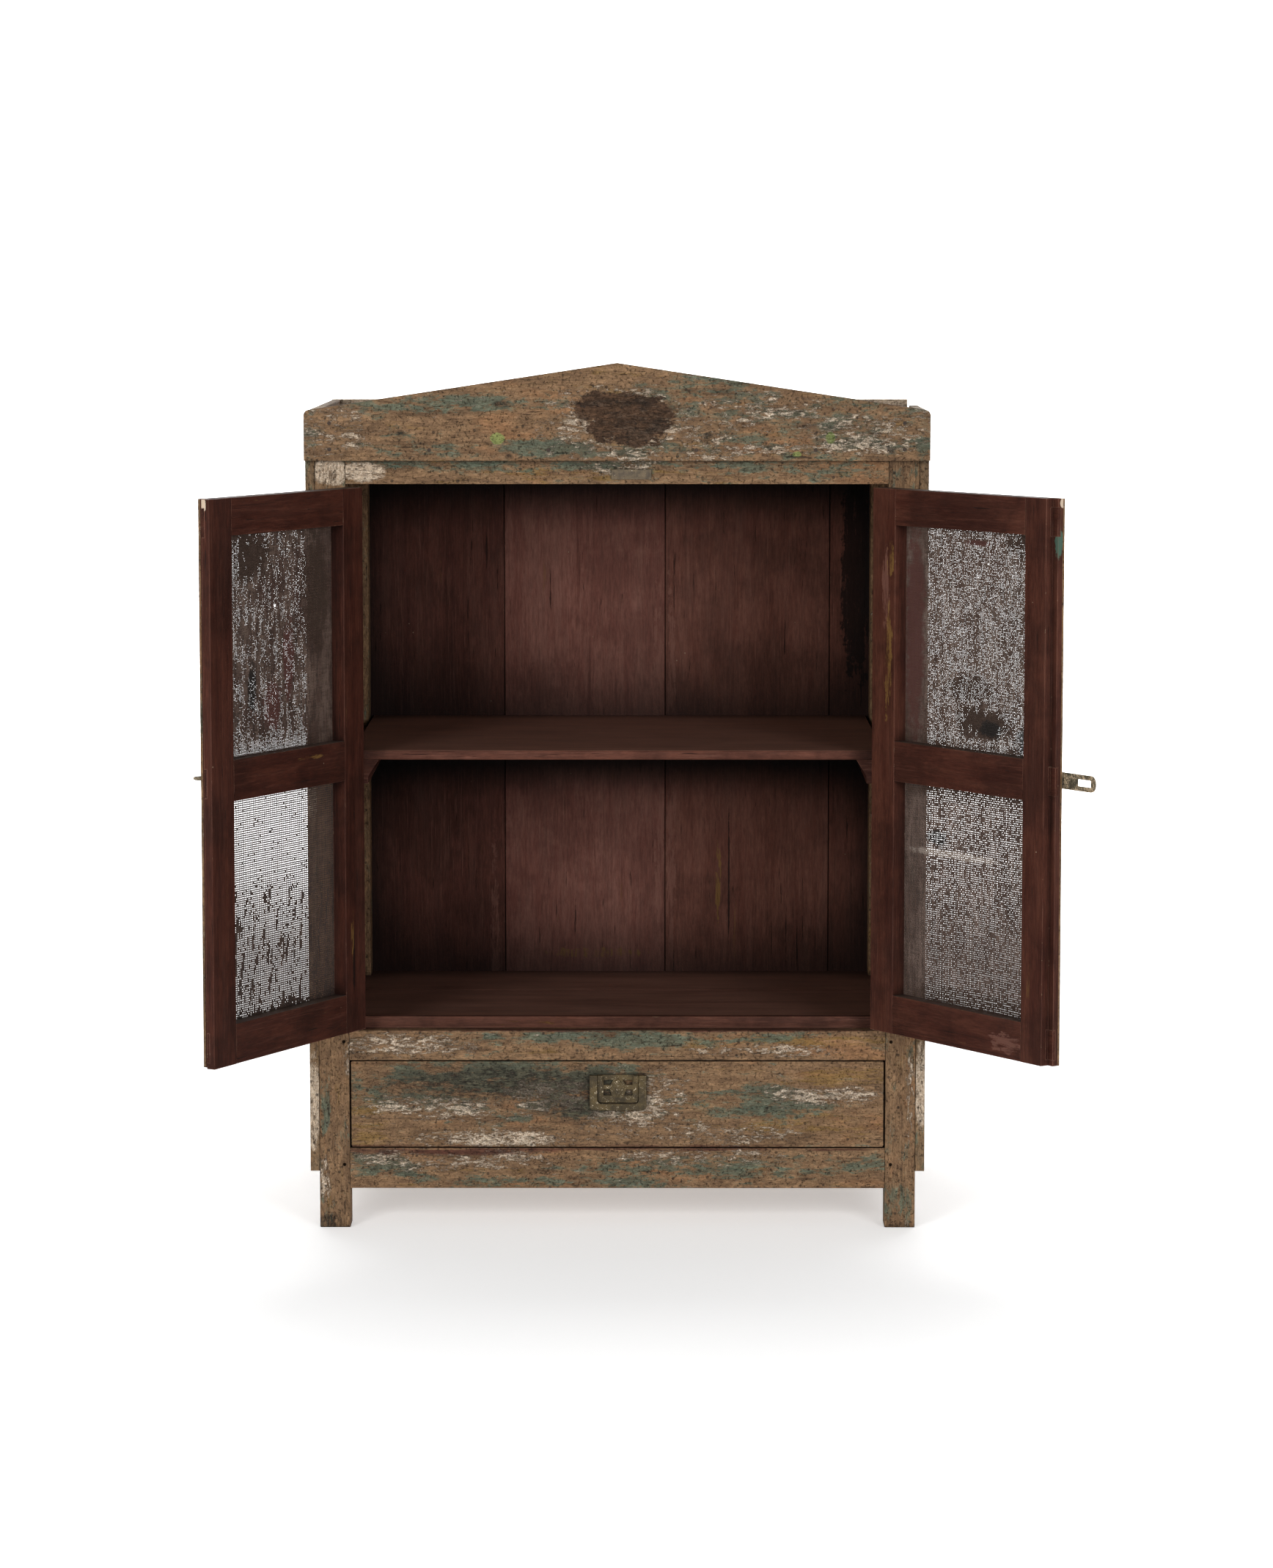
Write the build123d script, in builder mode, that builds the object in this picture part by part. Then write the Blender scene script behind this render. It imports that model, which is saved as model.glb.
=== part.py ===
from build123d import *
import os

# A painted wooden food safe: two wire-mesh doors over a full-width drawer, on four
# square posts, with a pedimented gallery round the top.
# Carcass coordinates: X from the middle, Y from the front face of the posts towards
# the back, Z from the floor. The carcass is set off from the origin so that the
# origin is under the middle of the whole object as it stands, doors open.
CARCASS_X = -35.0
CARCASS_Y = -99.0

# Carcass
HALF_WIDTH = 420.0  # outer faces of the posts
DEPTH = 550.0  # front face to the back face of the rear posts
POST = 43.0
POST_TOP = 1090.0
FOOT_ROUND = 1.5
POST_ROUND = 2.0
ARRIS = 1.0
RAIL_T = 26.0
SIDE_RAIL_T = 24.0
TENON_SHOULDER = 6.0
TENON_LENGTH = 20.0
SIDE_TENON_LENGTH = 17.0
TOP_RAIL_Z = (1049.3, POST_TOP)
DRAWER_RAIL_Z = (239.4, 281.7)
BOTTOM_RAIL_Z = (56.4, 114.1)
SHELF_RAIL_Z = (620.0, 660.2)
FLOOR_RAIL_Z = (222.0, 267.7)
PEG_HOLE_R = 2.4
PEG_HOLE_DEPTH = 6.0

# Boards
SIDE_T = 13.0
SIDE_BOTTOM = 81.2
SIDE_TOP = 1150.0
SIDE_SPLIT_Y = 281.0
RIGHT_REAR_DROP = 12.0
BACK_T = 12.0
BACK_JOINTS = (-174.0, 69.0, 317.5)
BACK_LAP = 6.0
GAP = 0.6  # between neighbouring boards
TOP_T = 14.0
GALLERY_TOP = 1151.0
PEDIMENT_T = 14.0
PEDIMENT_HALF = 433.8
PEDIMENT_Z = (1082.0, 1151.4, 1217.0)  # underside, eaves, peak
PEDIMENT_ROUND = 8.0
FLOOR_TOP = 281.7
FLOOR_T = 14.0
FLOOR_SPLIT_Y = 366.0
STOP_Y = (26.0, 40.0)
STOP_H = 15.8
SHELF_Y = (40.0, 548.0)
SHELF_HALF = 372.0
SHELF_TOP = 673.6
SHELF_T = 13.4
BEARER_Y = (45.0, 505.0)
BEARER_INNER = 336.0
BEARER_H = 34.0

# Doors, in door coordinates: X from the hinge edge, Y inwards from the outer face,
# Z from the bottom edge
DOOR_W = 380.0
DOOR_H = 758.0
DOOR_T = 24.0
DOOR_BOTTOM = 287.5
DOOR_EDGE_X = 375.8
HINGE_STILE = 50.0
MEETING_STILE = 53.0
REBATE = 10.0
REBATE_Y = 12.0
TOP_RAIL_DOOR = (708.0, 758.0)
MID_RAIL_DOOR = (354.0, 409.5)
BOTTOM_RAIL_DOOR = (0.0, 54.0)
TOP_TENON = (708.0, 746.0)
MID_TENON = (363.0, 401.0)
BOTTOM_TENON = (8.0, 48.0)
TENON_Y = (8.0, 16.0)
TENON_GAP = 0.35
MESH_LAND = 12.0
MESH_RECESS = 4.0
MESH_T = 1.0
LEFT_OPEN = 118.4  # angles at which the doors stand open
RIGHT_OPEN = 125.3

# Butt hinges
PIN_X = 376.4
PIN_Y = -3.5
PIN_R = 1.5
PIN_FIT = 0.07
KNUCKLE_R = 3.2
KNUCKLES = 5
HINGE_H = 64.0
HINGE_Z = (108.0, 660.0)  # hinge centres above the door's bottom edge
LEAF_T = 1.4
LEAF_W = 20.0
LEAF_GAP = 0.3  # half the gap between the closed leaves
KNUCKLE_GAP = 0.4
HEAD_R = 3.4
HEAD_T = 0.8
SHANK_R = 1.5
SHANK_L = 14.0

# Hasp and staple
HASP_Z = 383.0  # above the door's bottom edge
HASP_PIN_X = 374.0
HASP_PIN_Y = -4.4
HASP_PIN_R = 1.3
HASP_KNUCKLE_R = 3.0
HASP_W = 22.2
HASP_TIP_X = 442.0
HASP_SLOT_X = (405.9, 433.3)
HASP_SLOT_H = 9.4
STRAP_T = 2.0
HASP_PLATE_X = (338.0, 368.0)
HASP_PLATE_H = 26.0
STAPLE_X = 333.0
STAPLE_SPREAD = 17.0
STAPLE_OUT = 35.0
STAPLE_WIRE_R = 2.2
STAPLE_PLATE = (42.0, 22.0, 1.8)

# Drawer and its pull
DRAWER_HALF = 375.0
DRAWER_Z = (115.7, 237.9)
DRAWER_FRONT_T = 20.0
DRAWER_SIDE_T = 12.0
DRAWER_SIDE_TOP = 214.0
DRAWER_BACK_Y = 505.0
DRAWER_LAP = 10.0
DRAWER_BOTTOM_Z = (123.0, 129.0)
DRAWER_GROOVE = 5.0
RUNNER_TOP = 115.2
RUNNER_H = 16.0
RUNNER_INNER = 344.0
GUIDE_INNER = 377.0
GUIDE_H = 40.0
PULL_X = 1.0
PULL_Z = (169.0, 218.9)
PULL_HALF = 40.1
PULL_BAR = 11.0
PULL_T = 4.0
PULL_ROUND = 6.5
PULL_PIN_Y = -5.6
PULL_PIN_Z = 214.4
PULL_PIN_R = 1.9
PULL_PLATE_HALF = 28.6
PULL_PLATE_Z = (179.7, 219.0)
PULL_PLATE_T = 3.0
PULL_EAR = 6.5

# Keeper plate on the top rail
KEEPER_X = (-7.9, 47.5)
KEEPER_Z = (1056.1, 1069.5)
KEEPER_T = 1.2
KEEPER_RIM = 2.2
KEEPER_DIVIDE = 25.9

POST_INNER = HALF_WIDTH - POST

CARCASS = Plane(origin=(CARCASS_X, CARCASS_Y, 0))
FRONT = Plane(origin=CARCASS.origin, x_dir=(1, 0, 0), z_dir=(0, -1, 0))
LEFT_DOOR = Plane(
    CARCASS.location
    * Location((-PIN_X, PIN_Y, 0), (0, 0, -LEFT_OPEN))
    * Location((PIN_X - DOOR_EDGE_X, -PIN_Y, DOOR_BOTTOM))
)
RIGHT_DOOR = Plane(
    CARCASS.location
    * Location((PIN_X, PIN_Y, 0), (0, 0, RIGHT_OPEN))
    * Location((DOOR_EDGE_X - PIN_X, -PIN_Y, DOOR_BOTTOM))
)


def board(low, high, mode=Mode.ADD):
    """Add or cut a square-edged board between two opposite corners."""
    size = Vector(*high) - Vector(*low)
    with Locations((Vector(*high) + Vector(*low)) / 2):
        Box(abs(size.X), abs(size.Y), abs(size.Z), mode=mode)


def screw(plane, place, inwards, head_lift=0.0):
    """Add a slotted flat-headed screw, its head's top at place, driven inwards."""
    seat = Plane(origin=plane.from_local_coords(place), z_dir=inwards)
    upright = (Align.CENTER, Align.CENTER, Align.MIN)
    with Locations(seat.offset(-head_lift).location):
        Cylinder(HEAD_R, HEAD_T, align=upright)
        Box(2 * HEAD_R, 0.8, 0.4, align=upright, mode=Mode.SUBTRACT)
    with Locations(seat.offset(HEAD_T - head_lift).location):
        Cylinder(SHANK_R, SHANK_L, align=upright)


def nail(plane, place, inwards, length):
    """Add a clout nail whose flat head stands a little proud of place."""
    seat = Plane(origin=plane.from_local_coords(place), z_dir=inwards)
    upright = (Align.CENTER, Align.CENTER, Align.MIN)
    with Locations(seat.offset(-0.4).location):
        Cylinder(2.6, 0.8, align=upright)
    with Locations(seat.offset(0.4).location):
        Cylinder(1.1, length, align=upright)


os.makedirs("parts", exist_ok=True)

# Posts, with mortises for the front, rear and side rails
front_levels = (TOP_RAIL_Z, DRAWER_RAIL_Z, BOTTOM_RAIL_Z)
rear_levels = (TOP_RAIL_Z, FLOOR_RAIL_Z, BOTTOM_RAIL_Z)
side_levels = (TOP_RAIL_Z, SHELF_RAIL_Z, FLOOR_RAIL_Z, BOTTOM_RAIL_Z)
front_tenon_y = (8.0, 18.0)
rear_tenon_y = (DEPTH - 16.0, DEPTH - 8.0)
side_tenon_x = (404.0, 412.0)
for side_name, side in (("left", -1), ("right", 1)):
    for end_name, y0, levels, tenon_y in (
        ("front", 0.0, front_levels, front_tenon_y),
        ("rear", DEPTH - POST, rear_levels, rear_tenon_y),
    ):
        with BuildPart(CARCASS) as post:
            board((side * POST_INNER, y0, 0), (side * HALF_WIDTH, y0 + POST, POST_TOP))
            fillet(post.edges().filter_by(Axis.Z), POST_ROUND)
            fillet(post.faces().sort_by(Axis.Z)[0].edges(), FOOT_ROUND)
            for z0, z1 in levels:
                board(
                    (side * POST_INNER, tenon_y[0], z0 + TENON_SHOULDER),
                    (
                        side * (POST_INNER + TENON_LENGTH),
                        tenon_y[1],
                        z1 - TENON_SHOULDER,
                    ),
                    Mode.SUBTRACT,
                )
            inner_y = y0 + POST if end_name == "front" else y0
            deep_y = (
                inner_y - SIDE_TENON_LENGTH
                if end_name == "front"
                else inner_y + SIDE_TENON_LENGTH
            )
            for z0, z1 in side_levels:
                board(
                    (side * side_tenon_x[0], inner_y, z0 + TENON_SHOULDER),
                    (side * side_tenon_x[1], deep_y, z1 - TENON_SHOULDER),
                    Mode.SUBTRACT,
                )
            if end_name == "front":
                for z0, z1 in ((DRAWER_RAIL_Z), (BOTTOM_RAIL_Z)):
                    with BuildSketch(FRONT):
                        with Locations((side * (POST_INNER + 8), (z0 + z1) / 2 + 5)):
                            Circle(PEG_HOLE_R)
                    extrude(amount=-PEG_HOLE_DEPTH, mode=Mode.SUBTRACT)
                for centre in HINGE_Z:
                    z0 = DOOR_BOTTOM + centre - HINGE_H / 2
                    board(
                        (side * (PIN_X + LEAF_GAP), -1, z0),
                        (
                            side * (PIN_X + LEAF_GAP + LEAF_T),
                            LEAF_W,
                            z0 + HINGE_H,
                        ),
                        Mode.SUBTRACT,
                    )
        post.part.label = f"post_{end_name}_{side_name}"
        export_step(post.part, f"parts/post_{end_name}_{side_name}.step")

# Front rails, flush with the posts and tenoned into them
for name, (z0, z1) in (
    ("top_rail", TOP_RAIL_Z),
    ("drawer_rail", DRAWER_RAIL_Z),
    ("bottom_rail", BOTTOM_RAIL_Z),
):
    with BuildPart(CARCASS) as rail:
        board((-POST_INNER, 0, z0), (POST_INNER, RAIL_T, z1))
        fillet(rail.edges().filter_by(Axis.X), ARRIS)
        for side in (-1, 1):
            board(
                (side * POST_INNER, front_tenon_y[0], z0 + TENON_SHOULDER),
                (
                    side * (POST_INNER + TENON_LENGTH),
                    front_tenon_y[1],
                    z1 - TENON_SHOULDER,
                ),
            )
    rail.part.label = name
    export_step(rail.part, f"parts/{name}.step")

# Rear rails at the top, under the floor and at the bottom
with BuildPart(CARCASS) as rear_rails:
    for z0, z1 in rear_levels:
        board((-POST_INNER, DEPTH - SIDE_RAIL_T, z0), (POST_INNER, DEPTH, z1))
        for side in (-1, 1):
            board(
                (side * POST_INNER, rear_tenon_y[0], z0 + TENON_SHOULDER),
                (
                    side * (POST_INNER + TENON_LENGTH),
                    rear_tenon_y[1],
                    z1 - TENON_SHOULDER,
                ),
            )
rear_rails.part.label = "rear_rails"
export_step(rear_rails.part, "parts/rear_rails.step")

# Side rails between the front and rear posts, four a side
for side_name, side in (("left", -1), ("right", 1)):
    with BuildPart(CARCASS) as side_rails:
        for z0, z1 in side_levels:
            board(
                (side * (HALF_WIDTH - SIDE_RAIL_T), POST, z0),
                (side * HALF_WIDTH, DEPTH - POST, z1),
            )
            board(
                (side * side_tenon_x[0], POST - SIDE_TENON_LENGTH, z0 + TENON_SHOULDER),
                (
                    side * side_tenon_x[1],
                    DEPTH - POST + SIDE_TENON_LENGTH,
                    z1 - TENON_SHOULDER,
                ),
            )
    side_rails.part.label = f"{side_name}_side_rails"
    export_step(side_rails.part, f"parts/{side_name}_side_rails.step")

# Side boards, two upright planks a side, standing up as the sides of the gallery
for side_name, side, rear_top in (
    ("left", -1, SIDE_TOP),
    ("right", 1, SIDE_TOP - RIGHT_REAR_DROP),
):
    with BuildPart(CARCASS) as side_boards:
        for y0, y1, top in (
            (0, SIDE_SPLIT_Y - GAP / 2, SIDE_TOP),
            (SIDE_SPLIT_Y + GAP / 2, DEPTH, rear_top),
        ):
            board(
                (side * HALF_WIDTH, y0, SIDE_BOTTOM),
                (side * (HALF_WIDTH + SIDE_T), y1, top),
            )
        fillet(side_boards.edges().filter_by(Axis.Z), ARRIS)
        fillet(side_boards.edges().group_by(Axis.Z)[-1].filter_by(Axis.Y), ARRIS)
    side_boards.part.label = f"{side_name}_side_boards"
    export_step(side_boards.part, f"parts/{side_name}_side_boards.step")

# Back boards, four upright planks lapped half over one another
back_edges = (
    -HALF_WIDTH - SIDE_T,
    *BACK_JOINTS,
    HALF_WIDTH + SIDE_T,
)
for index, (x0, x1) in enumerate(zip(back_edges, back_edges[1:]), start=1):
    outer_x0 = x0 if index == 1 else x0 + BACK_LAP
    outer_x1 = x1 if index == len(BACK_JOINTS) + 1 else x1 + BACK_LAP
    with BuildPart(CARCASS) as back_board:
        board(
            (x0 + GAP / 2, DEPTH, BOTTOM_RAIL_Z[0]),
            (x1 - GAP / 2, DEPTH + BACK_T / 2, POST_TOP),
        )
        chamfer(
            back_board.edges().filter_by(Axis.Z).group_by(Axis.Y)[0], ARRIS
        )
        board(
            (outer_x0 + GAP / 2, DEPTH + BACK_T / 2, BOTTOM_RAIL_Z[0]),
            (outer_x1 - GAP / 2, DEPTH + BACK_T, POST_TOP),
        )
    back_board.part.label = f"back_board_{index}"
    export_step(back_board.part, f"parts/back_board_{index}.step")

# Top boards, laid across the posts and rails inside the side boards
with BuildPart(CARCASS) as top_boards:
    for index in range(3):
        board(
            (-HALF_WIDTH + GAP, index * DEPTH / 3 + GAP, POST_TOP),
            (HALF_WIDTH - GAP, (index + 1) * DEPTH / 3, POST_TOP + TOP_T),
        )
    chamfer(
        top_boards.faces().group_by(Axis.Z)[-1].edges().filter_by(Axis.X), ARRIS
    )
top_boards.part.label = "top_boards"
export_step(top_boards.part, "parts/top_boards.step")

# Back of the gallery, covering the ends of the side boards
with BuildPart(CARCASS) as back_gallery:
    board(
        (-HALF_WIDTH - SIDE_T, DEPTH, POST_TOP + GAP),
        (HALF_WIDTH + SIDE_T, DEPTH + BACK_T, GALLERY_TOP),
    )
    fillet(back_gallery.edges().filter_by(Axis.X).group_by(Axis.Z)[-1], ARRIS)
    fillet(back_gallery.edges().filter_by(Axis.Z), ARRIS)
back_gallery.part.label = "back_gallery"
export_step(back_gallery.part, "parts/back_gallery.step")

# Pediment: a low gable planted on the front, with softened corners
with BuildPart() as pediment:
    with BuildSketch(FRONT):
        with BuildLine():
            Polyline(
                (-PEDIMENT_HALF, PEDIMENT_Z[0]),
                (PEDIMENT_HALF, PEDIMENT_Z[0]),
                (PEDIMENT_HALF, PEDIMENT_Z[1]),
                (0, PEDIMENT_Z[2]),
                (-PEDIMENT_HALF, PEDIMENT_Z[1]),
                close=True,
            )
        make_face()
    extrude(amount=PEDIMENT_T)
    fillet(
        pediment.edges().filter_by(Axis.Y).group_by(Axis.Z)[-2], PEDIMENT_ROUND
    )
    fillet(pediment.faces().sort_by(Axis.Y)[0].edges(), ARRIS)
pediment.part.label = "pediment"
export_step(pediment.part, "parts/pediment.step")

# Floor of the cupboard: two boards notched round the posts
with BuildPart(CARCASS) as floor_boards:
    for y0, y1, notch in (
        (RAIL_T, FLOOR_SPLIT_Y - GAP / 2, (RAIL_T, POST)),
        (FLOOR_SPLIT_Y + GAP / 2, DEPTH, (DEPTH - POST, DEPTH)),
    ):
        board(
            (-HALF_WIDTH, y0, FLOOR_TOP - FLOOR_T),
            (HALF_WIDTH, y1, FLOOR_TOP),
        )
        for side in (-1, 1):
            board(
                (side * HALF_WIDTH, notch[0], FLOOR_TOP - FLOOR_T),
                (side * POST_INNER, notch[1], FLOOR_TOP),
                Mode.SUBTRACT,
            )
    chamfer(
        floor_boards.edges()
        .filter_by(Axis.X)
        .group_by(Axis.Z)[-1]
        .filter_by(
            lambda edge: abs(edge.center().Y - CARCASS_Y - FLOOR_SPLIT_Y) < 1
        ),
        ARRIS,
    )
floor_boards.part.label = "floor_boards"
export_step(floor_boards.part, "parts/floor_boards.step")

# Stop strip that the closed doors rest against
with BuildPart(CARCASS) as floor_stop:
    board(
        (-POST_INNER, STOP_Y[0], FLOOR_TOP),
        (POST_INNER, STOP_Y[1], FLOOR_TOP + STOP_H),
    )
    fillet(floor_stop.edges().filter_by(Axis.X).group_by(Axis.Z)[-1], ARRIS)
floor_stop.part.label = "floor_stop"
export_step(floor_stop.part, "parts/floor_stop.step")

# Shelf on two bearers, each with its lower inner corner planed away
with BuildPart(CARCASS) as shelf:
    board(
        (-SHELF_HALF, SHELF_Y[0], SHELF_TOP - SHELF_T),
        (SHELF_HALF, SHELF_Y[1], SHELF_TOP),
    )
    fillet(
        shelf.edges().filter_by(Axis.X).group_by(Axis.Y)[0], 2.5 * ARRIS
    )
shelf.part.label = "shelf"
export_step(shelf.part, "parts/shelf.step")

with BuildPart() as shelf_bearers:
    bearer_top = SHELF_TOP - SHELF_T
    for side in (-1, 1):
        with BuildSketch(FRONT.offset(-BEARER_Y[0])):
            with BuildLine():
                Polyline(
                    (side * (HALF_WIDTH - SIDE_RAIL_T), bearer_top),
                    (side * BEARER_INNER, bearer_top),
                    (side * (BEARER_INNER + 15), bearer_top - 24),
                    (side * (BEARER_INNER + 15), bearer_top - BEARER_H),
                    (side * (HALF_WIDTH - SIDE_RAIL_T), bearer_top - BEARER_H),
                    close=True,
                )
            make_face()
        extrude(amount=BEARER_Y[0] - BEARER_Y[1])
shelf_bearers.part.label = "shelf_bearers"
export_step(shelf_bearers.part, "parts/shelf_bearers.step")

# Runners under the drawer's sides, each with a guide beside it
with BuildPart(CARCASS) as drawer_runners:
    for side in (-1, 1):
        outer = side * (HALF_WIDTH - SIDE_RAIL_T)
        board(
            (side * RUNNER_INNER, POST, RUNNER_TOP - RUNNER_H),
            (outer, DEPTH - POST, RUNNER_TOP),
        )
        board(
            (side * GUIDE_INNER, POST, RUNNER_TOP),
            (outer, DEPTH - POST, RUNNER_TOP + GUIDE_H),
        )
drawer_runners.part.label = "drawer_runners"
export_step(drawer_runners.part, "parts/drawer_runners.step")

# Keeper plate on the top rail: a thin tray with a raised rim and one partition
with BuildPart() as keeper_plate:
    keeper_centre = (sum(KEEPER_X) / 2, sum(KEEPER_Z) / 2)
    keeper_size = (KEEPER_X[1] - KEEPER_X[0], KEEPER_Z[1] - KEEPER_Z[0])
    with BuildSketch(FRONT):
        with Locations(keeper_centre):
            RectangleRounded(*keeper_size, 1.5)
    extrude(amount=KEEPER_T)
    with BuildSketch(FRONT.offset(KEEPER_T)):
        with Locations(keeper_centre):
            RectangleRounded(*keeper_size, 1.5)
            Rectangle(
                keeper_size[0] - 2 * KEEPER_RIM,
                keeper_size[1] - 2 * KEEPER_RIM,
                mode=Mode.SUBTRACT,
            )
        with Locations((KEEPER_DIVIDE, keeper_centre[1])):
            Rectangle(KEEPER_RIM, keeper_size[1] - KEEPER_RIM)
    extrude(amount=KEEPER_T)
keeper_plate.part.label = "keeper_plate"
export_step(keeper_plate.part, "parts/keeper_plate.step")

# Nails through the pediment, the side boards and the back boards
with BuildPart() as nails:
    for x in (-398, 398):
        for z in (1098, 1134):
            nail(CARCASS, (x, -PEDIMENT_T, z), (0, 1, 0), 12)
    for x in (-260, -95, 110, 275):
        nail(CARCASS, (x, -PEDIMENT_T, POST_TOP + TOP_T / 2), (0, 1, 0), 40)
    for side in (-1, 1):
        for y in (21, 260, 300, DEPTH - 21):
            for z0, z1 in side_levels:
                place = (side * (HALF_WIDTH + SIDE_T), y, (z0 + z1) / 2)
                nail(CARCASS, place, (-side, 0, 0), 28)
    for x0, x1 in zip(back_edges, back_edges[1:]):
        for x in (x0 + 30, x1 - 25):
            for z0, z1 in rear_levels:
                nail(CARCASS, (x, DEPTH + BACK_T, (z0 + z1) / 2), (0, -1, 0), 26)
nails.part.label = "nails"
export_step(nails.part, "parts/nails.step")

# The posts' half of the four butt hinges: leaf, three knuckles and the fixed pin
knuckle_pitch = HINGE_H / KNUCKLES
hinge_bottoms = [DOOR_BOTTOM + centre - HINGE_H / 2 for centre in HINGE_Z]
with BuildPart(CARCASS) as post_hinge_leaves:
    for side in (-1, 1):
        leaf_x = (side * (PIN_X + LEAF_GAP), side * (PIN_X + LEAF_GAP + LEAF_T))
        for z in hinge_bottoms:
            board((leaf_x[0], 0.1, z), (leaf_x[1], LEAF_W, z + HINGE_H))
            for knuckle in range(0, KNUCKLES, 2):
                z0 = z + knuckle * knuckle_pitch
                length = knuckle_pitch - KNUCKLE_GAP
                board((leaf_x[0], PIN_Y, z0), (leaf_x[1], 0.1, z0 + length))
                with Locations((side * PIN_X, PIN_Y, z0 + length / 2)):
                    Cylinder(KNUCKLE_R, length)
                    Cylinder(PIN_R, length, mode=Mode.SUBTRACT)
post_hinge_leaves.part.label = "post_hinge_leaves"
export_step(post_hinge_leaves.part, "parts/post_hinge_leaves.step")

with BuildPart(CARCASS) as hinge_pins:
    for side in (-1, 1):
        for z in hinge_bottoms:
            with Locations((side * PIN_X, PIN_Y, z + (HINGE_H - KNUCKLE_GAP) / 2)):
                Cylinder(PIN_R, HINGE_H - KNUCKLE_GAP)
hinge_pins.part.label = "hinge_pins"
export_step(hinge_pins.part, "parts/hinge_pins.step")

with BuildPart() as post_hinge_screws:
    for side in (-1, 1):
        for z in hinge_bottoms:
            for y, rise in ((7, 9), (14, 24), (7, 40), (14, 55)):
                place = (side * (PIN_X + LEAF_GAP), y, z + rise)
                screw(CARCASS, place, (side, 0, 0))
post_hinge_screws.part.label = "post_hinge_screws"
export_step(post_hinge_screws.part, "parts/post_hinge_screws.step")

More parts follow.
